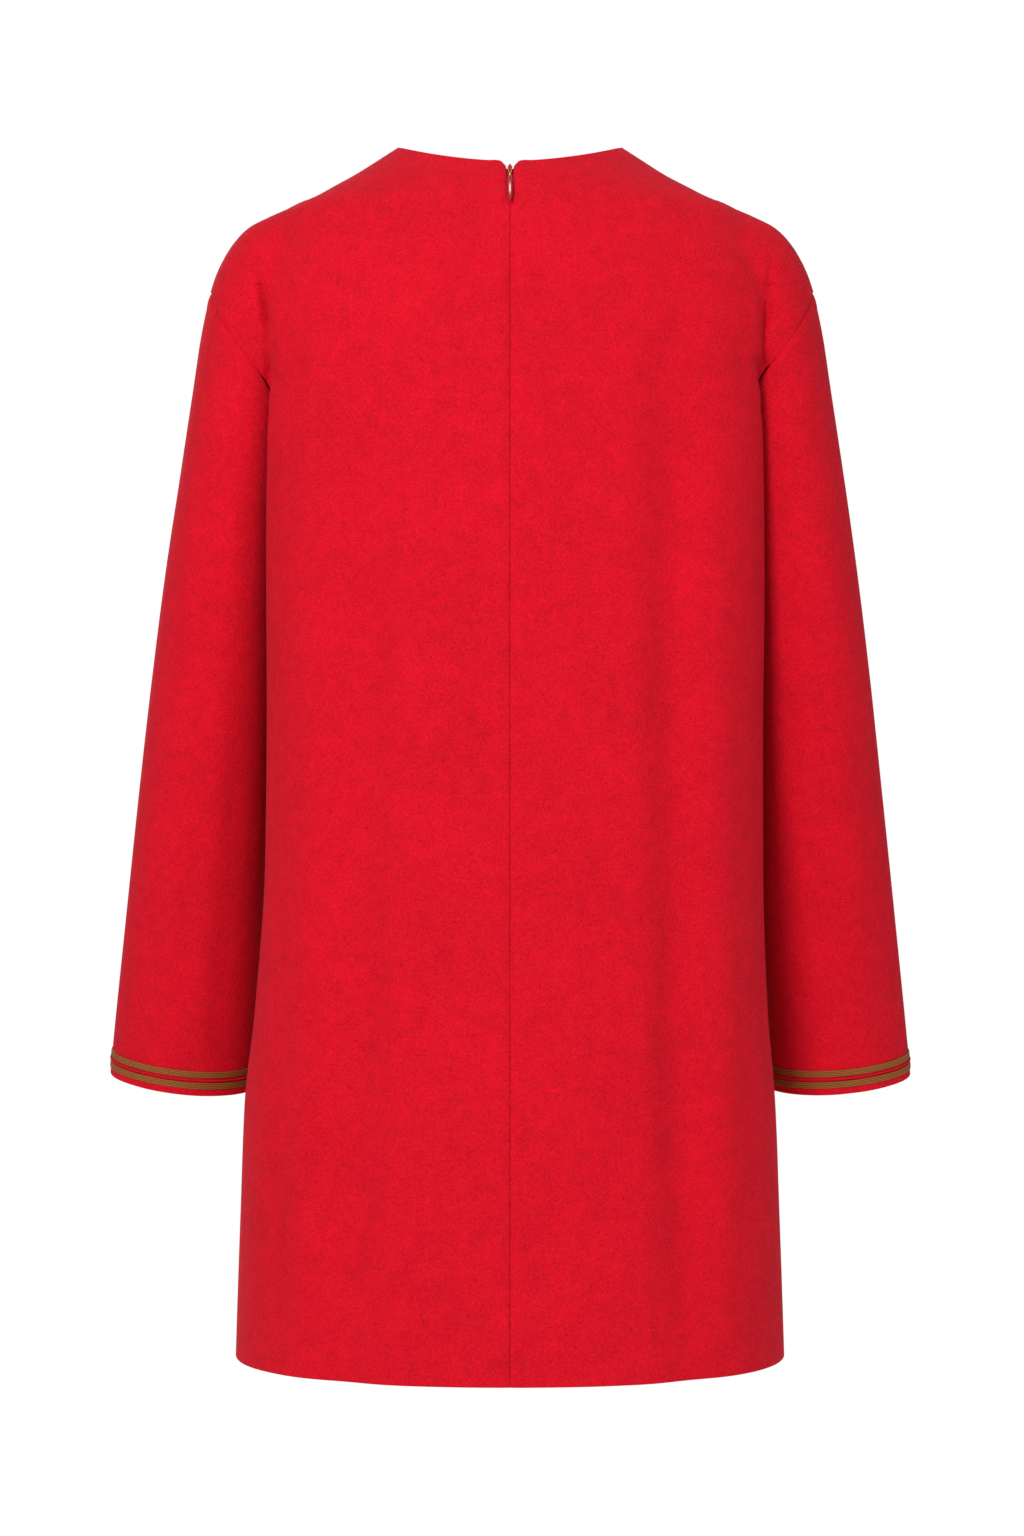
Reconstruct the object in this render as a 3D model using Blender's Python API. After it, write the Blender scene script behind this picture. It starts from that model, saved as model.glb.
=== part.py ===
"""A long-sleeved A-line wool dress, worn and hollow, with a zip up its back.

Metres, +Z up. The origin is the mid-point between the two neck points, where the shoulder seams
meet the neckline. The back of the dress faces -Y and its front +Y. The wearer's left is at -X.

The cloth follows one smooth form, read at each height from two tables: an oval for the body and an
oval for each arm. Above the underarm the ovals run together, and a fold lies where they meet. Below
it the arm presses a hollow into the side of the skirt and hangs just clear of it. Each panel is a
grid of points on that form, with a wall of cloth behind it.
"""
import math

import bmesh
import bpy
import numpy as np

for old_object in list(bpy.data.objects):
    bpy.data.objects.remove(old_object, do_unlink=True)

# Cloth and seams
CLOTH = 0.002
SEAM_GAP = 0.0003
INNER_GAP = 0.0013
SHARP_ANGLE = 40.0
HEM_HEIGHT = -0.842

# Body form: half the width, depth behind and in front, squareness, and how far it sways to +X
TORSO_COLUMNS = ("height", "half_width", "back", "front", "power", "sway")
TORSO = (
    (0.010, 0.0620, 0.030, 0.008, 2.00, 0.0000),
    (0.000, 0.0780, 0.043, 0.014, 2.00, 0.0000),
    (-0.009, 0.0918, 0.0545, 0.019, 2.00, 0.0000),
    (-0.019, 0.1075, 0.065, 0.024, 2.05, 0.0000),
    (-0.030, 0.1273, 0.076, 0.033, 2.10, 0.0005),
    (-0.036, 0.1380, 0.0805, 0.038, 2.15, 0.0008),
    (-0.043, 0.1528, 0.085, 0.043, 2.20, 0.0010),
    (-0.050, 0.1622, 0.0885, 0.049, 2.25, 0.0013),
    (-0.058, 0.1668, 0.092, 0.055, 2.33, 0.0016),
    (-0.070, 0.1695, 0.096, 0.064, 2.45, 0.0020),
    (-0.085, 0.1750, 0.099, 0.073, 2.60, 0.0030),
    (-0.120, 0.1800, 0.104, 0.089, 2.80, 0.0035),
    (-0.170, 0.1780, 0.108, 0.104, 2.90, 0.0040),
    (-0.225, 0.1765, 0.111, 0.113, 2.90, 0.0040),
    (-0.300, 0.1745, 0.113, 0.116, 2.90, 0.0040),
    (-0.400, 0.1728, 0.115, 0.117, 2.90, 0.0035),
    (-0.500, 0.1735, 0.119, 0.120, 2.85, 0.0030),
    (-0.600, 0.1785, 0.124, 0.125, 2.70, 0.0010),
    (-0.666, 0.1848, 0.128, 0.128, 2.60, 0.0000),
    (-0.740, 0.1878, 0.133, 0.133, 2.40, 0.0000),
    (-0.842, 0.1913, 0.140, 0.140, 2.28, 0.0000),
    (-0.870, 0.1920, 0.142, 0.142, 2.28, 0.0000),
)

# Arm form: how far out it reaches, half its width and depth, where its middle lies, and its sway
ARM_COLUMNS = ("height", "outer", "arm_width", "arm_depth", "arm_y", "arm_sway")
ARM = (
    (-0.043, 0.1490, 0.0040, 0.004, 0.000, 0.0010),
    (-0.049, 0.1672, 0.0120, 0.015, 0.000, 0.0011),
    (-0.056, 0.1831, 0.0200, 0.027, 0.000, 0.0012),
    (-0.065, 0.1925, 0.0280, 0.0385, 0.000, 0.0014),
    (-0.076, 0.2000, 0.0325, 0.0465, 0.000, 0.0014),
    (-0.093, 0.2079, 0.0355, 0.0530, 0.001, 0.0014),
    (-0.127, 0.2167, 0.0370, 0.0575, 0.004, 0.0014),
    (-0.169, 0.2236, 0.0378, 0.0590, 0.008, 0.0014),
    (-0.225, 0.2324, 0.0388, 0.0590, 0.011, 0.0014),
    (-0.294, 0.2431, 0.0410, 0.0580, 0.016, 0.0010),
    (-0.378, 0.2545, 0.0440, 0.0565, 0.025, 0.0007),
    (-0.463, 0.2652, 0.0469, 0.0545, 0.038, 0.0004),
    (-0.549, 0.2755, 0.0497, 0.0515, 0.051, 0.0003),
    (-0.629, 0.2849, 0.0519, 0.0485, 0.063, 0.0002),
    (-0.690, 0.2914, 0.0535, 0.0470, 0.072, 0.0002),
)

# Largest soft folds: troughs that run down the back (facing -1) and the front (facing 1).
# Columns: facing, place across at the top and at the hem, height of its top, depth, half its width,
# and the share of its depth that is left at the hem
FOLDS = (
    (-1, -0.112, -0.122, -0.200, 0.0028, 0.022, 0.3),
    (-1, 0.104, 0.118, -0.130, 0.0040, 0.026, 0.3),
    (1, -0.106, -0.118, -0.190, 0.0034, 0.024, 0.6),
    (1, 0.098, 0.108, -0.260, 0.0040, 0.028, 0.7),
    (1, -0.030, -0.044, -0.420, 0.0024, 0.030, 1.0),
)
FOLD_START = 0.16

# Neckline, round in plan, armhole and underarm
NECK_HALF_WIDTH = 0.078
NECK_BACK_HEIGHT = -0.0192
NECK_FRONT_HEIGHT = -0.085
NECK_LOWEST = -0.100
NECK_STEPS = 61
ARMHOLE_TOP = -0.101
ARMHOLE_BOTTOM = -0.219
ARMHOLE_POWER = 1.30
ARM_CLEARANCE = 0.005
SEALED = -0.004
OPEN_TOP = {-1: -0.1593, 1: -0.1553}
OPEN_SPAN = 0.008
CLOSING_LENGTH = 0.014
PRESS_RADIUS = 0.007
SHARP_BLEND = 0.004
SHOULDER_BLEND = 0.016
BLEND_LOW = -0.105
BLEND_SPAN = 0.050

# Cuff: height of its middle, and how its edge's plane rises outwards, at each side, and forwards
CUFF_HEIGHT = -0.657
CUFF_RISE_OUT = {-1: 0.1100, 1: 0.0850}
CUFF_RISE_FORWARD = 0.1425
SLEEVE_HEAD_FADE = 0.07

# Grids: rows of the skirt, the armhole and the shoulder, and columns round each piece
SKIRT_ROWS = 16
ARMHOLE_ROWS = 10
SHOULDER_STEPS = (0.14, 0.28, 0.42, 0.56, 0.70, 0.84, 0.945, 1.0)
TIP_SHARE = 0.58
BACK_COLUMNS = 13
FRONT_COLUMNS = 11
SLEEVE_ROWS = 15
RAYS = 150
TURN_WEIGHT = 0.03
LEVEL_POWER = 1.6
EDGE_STRIP = 0.011
RAY_REACH = 0.34
RAY_SAMPLES = 171
HALVINGS = 20
FAN_DEPTH = 0.10
FAN_TOP = -0.03
FAN_SPAN = 0.07
NORMAL_STEP = 0.0004
AGREEMENT = 0.70

# Braid and cord round each cuff: start and end above the edge, and how far they stand off the sleeve
BRAID_BANDS = {"lower": (0.0050, 0.0098), "upper": (0.0130, 0.0178)}
BRAID_THICKNESS = 0.0010
CORD_MIDDLE = 0.0114
CORD_RADIUS = 0.0007

# Zip: the parted edges at its top, its tapes, its slider and its pull tab
PARTED_COLUMNS = ("height", "half_gap")
PARTED = (
    (-0.0180, 0.0058),
    (-0.0192, 0.0056),
    (-0.0235, 0.0026),
    (-0.0300, 0.0022),
    (-0.0400, 0.0019),
    (-0.0455, 0.0012),
    (-0.0510, 0.0004),
    (-0.0560, 0.00015),
    (-0.8700, 0.00015),
)
ZIP_TOP = -0.0235
ZIP_BOTTOM = -0.480
TAPE_WIDTH = 0.012
TAPE_THICKNESS = 0.0008
TAPE_GAP = 0.00045
COIL_WIDTH = 0.0022
COIL_THICKNESS = 0.0020
COIL_STEP = 0.0003
PULL_AXIS_HEIGHT = -0.0322
PULL_AXIS_OUT = 0.0010
PULL_LENGTH = 0.0255
PULL_HALF_WIDTH = 0.0017
PULL_THICKNESS = 0.0008
PULL_SHOULDER = 0.0030
PULL_TAPER = 0.0185
PULL_TOP_SHARE = 0.75
RIM = 0.0004
EYE_LENGTH = 0.0026
EYE_HALF_WIDTH = 0.0008
EYE_POINT = 0.0002
BAIL_INNER = 0.0013
BAIL_OUTER = 0.0020
BAIL_HALF_WIDTH = 0.00045
BAIL_STEPS = 10
CROWN_HALF_WIDTH = 0.0017
CROWN_TOP = 0.0125
CROWN_BOTTOM = 0.0024
CROWN_PROUD = 0.0004
CROWN_SHOULDER = 0.0012
CROWN_FOOT_SHARE = 0.4
NECK_OVERLAP = 0.0004
BAIL_INSET = 0.00002
SLIDER_DEPTH = 0.0042

# Colours, straight from the finishes: wool crepe, bronze braid, zip tape and enamelled metal
WOOL_RED = (0.600, 0.006, 0.017)
BRAID_BRONZE = (0.258, 0.069, 0.013)
TAPE_RED = (0.340, 0.004, 0.010)
METAL_GOLD = (0.520, 0.330, 0.130)
ENAMEL_RED = (0.450, 0.006, 0.016)


def read_table(table, columns, name, height):
    """Value of one column at any height, on a smooth curve that never overshoots its rows."""
    rows = np.array(table)[::-1]
    levels = rows[:, 0]
    values = rows[:, columns.index(name)]
    step = np.diff(levels)
    slope = np.diff(values) / step
    tangent = np.zeros_like(values)
    tangent[0] = slope[0]
    tangent[-1] = slope[-1]
    same_way = slope[:-1] * slope[1:] > 0
    lower = np.where(same_way, slope[:-1], 1.0)
    upper = np.where(same_way, slope[1:], 1.0)
    lower_weight = 2 * step[1:] + step[:-1]
    upper_weight = step[1:] + 2 * step[:-1]
    mean = (lower_weight + upper_weight) / (lower_weight / lower + upper_weight / upper)
    tangent[1:-1] = np.where(same_way, mean, 0.0)
    height = np.clip(height, levels[0], levels[-1])
    i = np.clip(np.searchsorted(levels, height) - 1, 0, len(levels) - 2)
    t = (height - levels[i]) / step[i]
    start = (1 + 2 * t) * (1 - t) ** 2 * values[i] + t * (1 - t) ** 2 * step[i] * tangent[i]
    end = t * t * (3 - 2 * t) * values[i + 1] + t * t * (t - 1) * step[i] * tangent[i + 1]
    return start + end


def ease(t):
    """Rise from 0 to 1 with a level start and end."""
    t = np.clip(t, 0.0, 1.0)
    return t * t * (3 - 2 * t)


def smooth_min(a, b, radius):
    """The smaller of two distances, with the meeting rounded over the radius."""
    share = np.clip(0.5 + 0.5 * (b - a) / radius, 0.0, 1.0)
    return b + (a - b) * share - radius * share * (1 - share)


def oval_distance(x, y, half_x, half_y, power):
    """Distance from a superellipse in plan, below zero inside it."""
    u = np.abs(x) / half_x + 1e-9
    v = np.abs(y) / half_y + 1e-9
    reach = (u ** power + v ** power) ** (1 / power)
    slope = reach ** (1 - power) * np.hypot(u ** (power - 1) / half_x, v ** (power - 1) / half_y)
    return (reach - 1) / slope


def armhole_height(angle):
    """Height of the armhole seam at an angle round the arm: 0 is outside, pi is at the body."""
    return ARMHOLE_TOP + (ARMHOLE_BOTTOM - ARMHOLE_TOP) * ((1 - np.cos(angle)) / 2) ** ARMHOLE_POWER


def plan_at(height):
    """All that the tables say of the level section at each height."""
    height = np.asarray(height, dtype=float)
    plan = {name: read_table(TORSO, TORSO_COLUMNS, name, height) for name in TORSO_COLUMNS[1:]}
    for name in ARM_COLUMNS[1:]:
        plan[name] = read_table(ARM, ARM_COLUMNS, name, height)
    plan["height"] = height
    plan["arm_x"] = plan["outer"] - plan["arm_width"]
    for side, top in OPEN_TOP.items():
        opened = ease((top - height) / OPEN_SPAN)
        plan["clearance", side] = SEALED + (ARM_CLEARANCE - SEALED) * opened
    plan["blend"] = SHARP_BLEND + SHOULDER_BLEND * ease((height - BLEND_LOW) / BLEND_SPAN)
    return plan


def fold_depth(x, y, height):
    """Depth of the soft troughs at a point of the back or the front."""
    depth = 0.0
    for facing, x_top, x_hem, top, trough, width, hem_share in FOLDS:
        share = np.clip((height - top) / (HEM_HEIGHT - top), 0.0, 1.0)
        middle = x_top + (x_hem - x_top) * share
        strength = trough * ease((top - height) / FOLD_START) * (1 + (hem_share - 1) * share)
        depth = depth + np.where(y * facing > 0, strength, 0.0) * np.exp(-((x - middle) / width) ** 2)
    return depth


def torso_distance(x, y, plan):
    """Distance in plan from the body's oval, with its soft folds."""
    half_y = np.where(y < 0, plan["back"], plan["front"])
    pushed = y + np.sign(y) * fold_depth(x, y, plan["height"])
    return oval_distance(x - plan["sway"], pushed, plan["half_width"], half_y, plan["power"])


def arm_distance(x, y, plan):
    """Distance in plan from the oval of the arm on that side."""
    across = np.abs(x - plan["arm_sway"]) - plan["arm_x"]
    above = np.maximum(plan["height"] - ARM[0][0], 0.0)
    return oval_distance(across, y - plan["arm_y"], plan["arm_width"], plan["arm_depth"], 2.0) + above


def pressed_distance(x, y, plan, limb):
    """Distance in plan from the body with its sides pressed in by the arms, just clear of them."""
    clearance = np.where(x < 0, plan["clearance", -1], plan["clearance", 1])
    return -smooth_min(-torso_distance(x, y, plan), limb - clearance, PRESS_RADIUS)


def joined_distance(x, y, plan):
    """Distance in plan from body and arms together: the arm presses the body in, low down."""
    limb = arm_distance(x, y, plan)
    pressed = pressed_distance(x, y, plan, limb)
    return smooth_min(pressed, limb, plan["blend"])


def body_distance(x, y, plan):
    """Distance in plan from the body panels' form, which the arm only belongs to above the underarm."""
    limb = arm_distance(x, y, plan)
    pressed = pressed_distance(x, y, plan, limb)
    return np.where(plan["height"] > ARMHOLE_BOTTOM, smooth_min(pressed, limb, plan["blend"]), pressed)


def first_exit(distance, origin_x, origin_y, way_x, way_y, height):
    """How far a level ray runs from its origin, through the form, to where it first leaves it."""
    origin_x, origin_y, way_x, way_y, height = np.broadcast_arrays(origin_x, origin_y, way_x, way_y, height)
    plan = plan_at(height)
    spread_plan = {name: value[..., None] for name, value in plan.items()}
    reach = np.linspace(0.0, RAY_REACH, RAY_SAMPLES)
    x = origin_x[..., None] + way_x[..., None] * reach
    y = origin_y[..., None] + way_y[..., None] * reach
    inside = distance(x, y, spread_plan) < 0
    entered = inside.argmax(-1)
    left = ~inside & (np.arange(RAY_SAMPLES) > entered[..., None])
    hit = left.argmax(-1)
    low = reach[np.maximum(hit - 1, 0)]
    high = reach[hit]
    for _ in range(HALVINGS):
        middle = (low + high) / 2
        within = distance(origin_x + way_x * middle, origin_y + way_y * middle, plan) < 0
        low = np.where(within, middle, low)
        high = np.where(within, high, middle)
    return (low + high) / 2


def form_normals(points):
    """Outward unit normals of the body's form, from a small step each way."""
    gradient = np.empty_like(points)
    for axis in range(3):
        step = np.zeros(3)
        step[axis] = NORMAL_STEP
        ahead = points + step
        behind = points - step
        rise = joined_distance(ahead[..., 0], ahead[..., 1], plan_at(ahead[..., 2]))
        fall = joined_distance(behind[..., 0], behind[..., 1], plan_at(behind[..., 2]))
        gradient[..., axis] = rise - fall
    return gradient / np.linalg.norm(gradient, axis=-1, keepdims=True)


def grid_normals(points, turn, ring=False):
    """Outward unit normals of a grid of points, which take the form's own where the two agree."""
    if ring:
        along = np.roll(points, -1, axis=1) - np.roll(points, 1, axis=1)
    else:
        along = np.gradient(points, axis=1)
    normal = turn * np.cross(along, np.gradient(points, axis=0))
    normal = normal / np.linalg.norm(normal, axis=-1, keepdims=True)
    form = form_normals(points)
    agree = (form * normal).sum(-1, keepdims=True) > AGREEMENT
    return np.where(agree, form, normal)


def spread_points(line, count):
    """Spread points along each dense line, closer where it turns, with a narrow strip at its end."""
    step = np.diff(line, axis=-2)
    length = np.linalg.norm(step, axis=-1)
    way = step / np.maximum(length, 1e-9)[..., None]
    turn = np.arccos(np.clip((way[..., 1:, :] * way[..., :-1, :]).sum(-1), -1.0, 1.0))
    measure = length.copy()
    measure[..., 1:] += TURN_WEIGHT * turn / 2
    measure[..., :-1] += TURN_WEIGHT * turn / 2
    spread = []
    for points, part in zip(line, measure):
        along = np.concatenate([[0.0], np.cumsum(part)])
        wanted = np.append(np.linspace(0.0, along[-1] - EDGE_STRIP, count), along[-1])
        spread.append(np.stack([np.interp(wanted, along, points[:, axis]) for axis in range(3)], axis=-1))
    return np.array(spread)


def armhole_points(side, facing):
    """Armhole seam from the underarm up to the shoulder seam, on the back or the front."""
    angle = np.linspace(math.pi, 0.0, 181)
    height = armhole_height(angle)
    plan = plan_at(height)
    centre_x = side * plan["arm_x"] + plan["arm_sway"]
    way_x = side * np.cos(angle)
    way_y = facing * np.sin(angle)
    reach = first_exit(joined_distance, centre_x, plan["arm_y"], way_x, way_y, height)
    line = np.stack([centre_x + way_x * reach, plan["arm_y"] + way_y * reach, height], axis=-1)
    length = np.concatenate([[0.0], np.cumsum(np.linalg.norm(np.diff(line, axis=0), axis=-1))])
    wanted = np.linspace(0.0, length[-1], ARMHOLE_ROWS + 1)
    return np.stack([np.interp(wanted, length, line[:, axis]) for axis in range(3)], axis=-1)


def level_edge(side, edge_y, height):
    """Points where the side or shoulder seam, at a given depth, leaves the form."""
    reach = first_exit(body_distance, 0.0, edge_y, float(side), 0.0, height)
    return np.stack([side * reach, edge_y + 0 * height, height], axis=-1)


def edge_points(side, facing):
    """The outer edge of a body panel from hem to neck: side seam, armhole and shoulder seam."""
    armhole = armhole_points(side, facing)
    underarm_y = armhole[0, 1]
    tip_y = armhole[-1, 1]
    skirt_height = np.linspace(HEM_HEIGHT, ARMHOLE_BOTTOM, SKIRT_ROWS + 1)[:-1]
    skirt = level_edge(side, np.full(SKIRT_ROWS, underarm_y), skirt_height)
    steps = np.array(SHOULDER_STEPS)
    shoulder = level_edge(side, tip_y * (1 - steps), ARMHOLE_TOP * (1 - steps))
    return np.concatenate([skirt, armhole, shoulder])


def centre_heights(neck_height):
    """Heights of the rows where they cross the centre line, back or front."""
    skirt = np.linspace(HEM_HEIGHT, ARMHOLE_BOTTOM, SKIRT_ROWS + 1)[:-1]
    tip = ARMHOLE_BOTTOM + (neck_height - ARMHOLE_BOTTOM) * TIP_SHARE
    armhole = np.linspace(ARMHOLE_BOTTOM, tip, ARMHOLE_ROWS + 1)
    shoulder = tip + (neck_height - tip) * np.array(SHOULDER_STEPS)
    return np.concatenate([skirt, armhole, shoulder])


def fan_depth(height):
    """How far behind the middle the rays of a row start: nothing at the neck, more lower down."""
    return FAN_DEPTH * ease((FAN_TOP - height) / FAN_SPAN)


def neck_rise(side, facing, neck_height, share):
    """How far the neckline has risen at each share of its rays: its plan is a quarter of an oval."""
    depth = read_table(TORSO, TORSO_COLUMNS, "back" if facing < 0 else "front", neck_height)
    turn = np.linspace(0.0, math.pi / 2, NECK_STEPS)
    x = side * NECK_HALF_WIDTH * np.sin(turn)
    y = facing * depth * np.cos(turn)
    low = np.full(NECK_STEPS, NECK_LOWEST)
    high = np.zeros(NECK_STEPS)
    for _ in range(HALVINGS):
        middle = (low + high) / 2
        within = body_distance(x, y, plan_at(middle)) < 0
        low = np.where(within, middle, low)
        high = np.where(within, high, middle)
    angle = np.arctan2(np.abs(y) + fan_depth(low), np.abs(x))
    rise = (low - low[0]) / (low[-1] - low[0])
    return np.interp(share, 1 - angle / (math.pi / 2), rise)


def half_panel(side, facing, columns):
    """Grid of points from the centre line out to one edge, a row for each height."""
    edge = edge_points(side, facing)
    neck_height = NECK_BACK_HEIGHT if facing < 0 else NECK_FRONT_HEIGHT
    centre = centre_heights(neck_height)[:, None]
    share = np.linspace(0.0, 1.0, RAYS)[None, :]
    level = np.sin(share * math.pi / 2) ** LEVEL_POWER
    scoop = neck_rise(side, facing, neck_height, share)
    near_neck = np.clip(1 - edge[:, 2:3] / ARMHOLE_TOP, 0.0, 1.0)
    height = centre + (edge[:, 2:3] - centre) * (level + (scoop - level) * near_neck)
    origin_y = -facing * fan_depth(height)
    end = np.arctan2(edge[:, 1] - origin_y[:, -1], np.abs(edge[:, 0]))[:, None]
    start = facing * math.pi / 2
    angle = start + (end - start) * share
    way_x = side * np.cos(angle)
    way_y = np.sin(angle)
    reach = first_exit(body_distance, 0.0, origin_y, way_x, way_y, height)
    line = np.stack([way_x * reach, origin_y + way_y * reach, height], axis=-1)
    step = np.linalg.norm(np.diff(line, axis=1), axis=-1)
    to_end = np.cumsum(step[:, ::-1], axis=1)[:, ::-1]
    to_end = np.concatenate([to_end, np.zeros((len(line), 1))], axis=1)
    closing = ease(1 - to_end / CLOSING_LENGTH)[..., None]
    line += (edge - line[:, -1])[:, None] * closing
    line[:, 0, 0] = 0.0
    return spread_points(line, columns)


def draw_back(outer, inner, edge, neighbour):
    """Move one edge of a wall half a seam's gap towards the points beside it, more so inside."""
    way = outer[neighbour] - outer[edge]
    way = way / np.linalg.norm(way, axis=-1, keepdims=True)
    outer[edge] += way * SEAM_GAP / 2
    inner[edge] += way * INNER_GAP / 2


def add_object(name, vertices, faces, material):
    """A named object whose mesh is one closed solid with its faces pointing out."""
    mesh = bpy.data.meshes.new(name)
    mesh.from_pydata([tuple(map(float, point)) for point in vertices], [], faces)
    shape = bmesh.new()
    shape.from_mesh(mesh)
    bmesh.ops.recalc_face_normals(shape, faces=shape.faces)
    if shape.calc_volume(signed=True) < 0:
        bmesh.ops.reverse_faces(shape, faces=shape.faces)
    shape.to_mesh(mesh)
    shape.free()
    mesh.materials.append(material)
    mesh.shade_smooth()
    mesh.set_sharp_from_angle(angle=math.radians(SHARP_ANGLE))
    piece = bpy.data.objects.new(name, mesh)
    bpy.context.scene.collection.objects.link(piece)
    return piece


def wall_faces(rows, columns, ring):
    """Faces of a wall between an outer and an inner grid, open panel or closed ring."""
    index = np.arange(rows * columns).reshape(rows, columns)
    if ring:
        index = np.concatenate([index, index[:, :1]], axis=1)
    back = index + rows * columns
    outer = np.stack([index[:-1, :-1], index[:-1, 1:], index[1:, 1:], index[1:, :-1]], axis=-1)
    inner = np.stack([back[:-1, :-1], back[1:, :-1], back[1:, 1:], back[:-1, 1:]], axis=-1)
    faces = [outer.reshape(-1, 4), inner.reshape(-1, 4)]
    for row in (0, -1):
        rim = [index[row, :-1], back[row, :-1], back[row, 1:], index[row, 1:]]
        faces.append(np.stack(rim, axis=-1)[:, ::1 if row == 0 else -1])
    if not ring:
        for column in (0, -1):
            rim = [index[:-1, column], index[1:, column], back[1:, column], back[:-1, column]]
            faces.append(np.stack(rim, axis=-1)[:, ::1 if column == 0 else -1])
    return np.concatenate(faces).tolist()


def add_wall(name, outer, inner, material, ring=False):
    """A wall of cloth or braid from two grids of points."""
    rows, columns = outer.shape[:2]
    vertices = np.concatenate([outer.reshape(-1, 3), inner.reshape(-1, 3)])
    return add_object(name, vertices, wall_faces(rows, columns, ring), material)


def add_material(name, colour, roughness, metallic=0.0):
    """A plain material in one finish."""
    material = bpy.data.materials.new(name)
    material.use_nodes = True
    shader = material.node_tree.nodes["Principled BSDF"]
    shader.inputs["Base Color"].default_value = (*colour, 1.0)
    shader.inputs["Roughness"].default_value = roughness
    shader.inputs["Metallic"].default_value = metallic
    return material


def part_centre_edge(outer, inner):
    """Part the two back panels at the zip, and leave a seam's gap below it."""
    half_gap = read_table(PARTED, PARTED_COLUMNS, "half_gap", outer[:, 0, 2])
    room = np.abs(outer[:, 1, 0])
    for grid in (outer, inner):
        share = half_gap / room
        grid[:, 0] += (grid[:, 1] - grid[:, 0]) * share[:, None]


def build_back(side, name, material):
    """One back panel, from the centre-back seam to the side seam, armhole and shoulder seam."""
    outer = half_panel(side, -1, BACK_COLUMNS)
    normal = grid_normals(outer, side)
    normal[SKIRT_ROWS, -1] = (side, 0.0, 0.0)
    inner = outer - CLOTH * normal
    inner[:, 0, 0] = 0.0
    draw_back(outer, inner, np.s_[:, -1], np.s_[:, -2])
    part_centre_edge(outer, inner)
    add_wall(name, outer, inner, material)
    return outer


def build_front(material):
    """The front panel, whole, from side seam to side seam."""
    left = half_panel(-1, 1, FRONT_COLUMNS)
    right = half_panel(1, 1, FRONT_COLUMNS)
    outer = np.concatenate([left[:, ::-1], right[:, 1:]], axis=1)
    normal = grid_normals(outer, -1)
    normal[SKIRT_ROWS, 0] = (-1.0, 0.0, 0.0)
    normal[SKIRT_ROWS, -1] = (1.0, 0.0, 0.0)
    inner = outer - CLOTH * normal
    draw_back(outer, inner, np.s_[:, 0], np.s_[:, 1])
    draw_back(outer, inner, np.s_[:, -1], np.s_[:, -2])
    add_wall("front", outer, inner, material)


def sleeve_ring(side):
    """Angles and seam points round the armhole, from the outside by the back and on round."""
    back = armhole_points(side, -1)[::-1]
    front = armhole_points(side, 1)[1:-1]
    seam = np.concatenate([back, front])
    plan = plan_at(seam[:, 2])
    across = (seam[:, 0] - plan["arm_sway"]) * side - plan["arm_x"]
    along = seam[:, 1] - plan["arm_y"]
    return np.arctan2(along, across), np.hypot(across, along), seam


def sleeve_points(side, angle, seam_reach, seam_height, height):
    """Points on the sleeve at angles and heights: the arm's oval, eased out to meet the armhole."""
    plan = plan_at(height)
    seam_plan = plan_at(seam_height)
    oval = 1 / np.hypot(np.cos(angle) / plan["arm_width"], np.sin(angle) / plan["arm_depth"])
    seam_oval = 1 / np.hypot(np.cos(angle) / seam_plan["arm_width"], np.sin(angle) / seam_plan["arm_depth"])
    fade = ease(1 - (seam_height - height) / SLEEVE_HEAD_FADE)
    reach = oval + (seam_reach - seam_oval) * fade
    x = side * (plan["arm_x"] + reach * np.cos(angle)) + plan["arm_sway"]
    y = plan["arm_y"] + reach * np.sin(angle)
    return np.stack([x, y, height + 0 * angle], axis=-1)


def cuff_edge(side, angle):
    """Height of the cuff's edge round the sleeve, square to the way that the sleeve hangs."""
    plan = plan_at(np.array([CUFF_HEIGHT]))
    rise_out = CUFF_RISE_OUT[side] * plan["arm_width"] * np.cos(angle)
    rise_forward = CUFF_RISE_FORWARD * plan["arm_depth"] * np.sin(angle)
    return CUFF_HEIGHT + rise_out + rise_forward


def build_sleeve(side, name, material):
    """One sleeve, a tube from the cuff's edge up to the armhole seam."""
    angle, reach, seam = sleeve_ring(side)
    edge = cuff_edge(side, angle)
    share = np.linspace(0.0, 1.0, SLEEVE_ROWS + 1)[:, None]
    height = edge + share * (seam[:, 2] - edge)
    outer = sleeve_points(side, angle, reach, seam[:, 2], height)
    outer[-1] = seam
    inner = outer - CLOTH * grid_normals(outer, -side, ring=True)
    draw_back(outer, inner, np.s_[-1], np.s_[-2])
    add_wall(name, outer, inner, material, ring=True)


def cuff_band(side, start, end):
    """Two rings of points round the cuff, on the sleeve, with their outward normals."""
    angle, reach, seam = sleeve_ring(side)
    edge = cuff_edge(side, angle)
    height = edge + np.array([[start], [end]])
    points = sleeve_points(side, angle, reach, seam[:, 2], height)
    return points, grid_normals(points, -side, ring=True)


def build_cuff_trim(side, word, braid_material, cord_material):
    """Two flat braids round the cuff, and the thin ridge of cloth between them."""
    for band, (start, end) in BRAID_BANDS.items():
        points, normal = cuff_band(side, start, end)
        inner = points + SEAM_GAP * normal
        outer = inner + BRAID_THICKNESS * normal
        add_wall(f"cuff_braid_{band}_{word}", outer, inner, braid_material, ring=True)
    points, normal = cuff_band(side, CORD_MIDDLE - CORD_RADIUS, CORD_MIDDLE + CORD_RADIUS)
    inner = points + SEAM_GAP * normal
    outer = inner + 2 * CORD_RADIUS * normal
    add_wall(f"cuff_cord_{word}", outer, inner, cord_material, ring=True)


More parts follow.
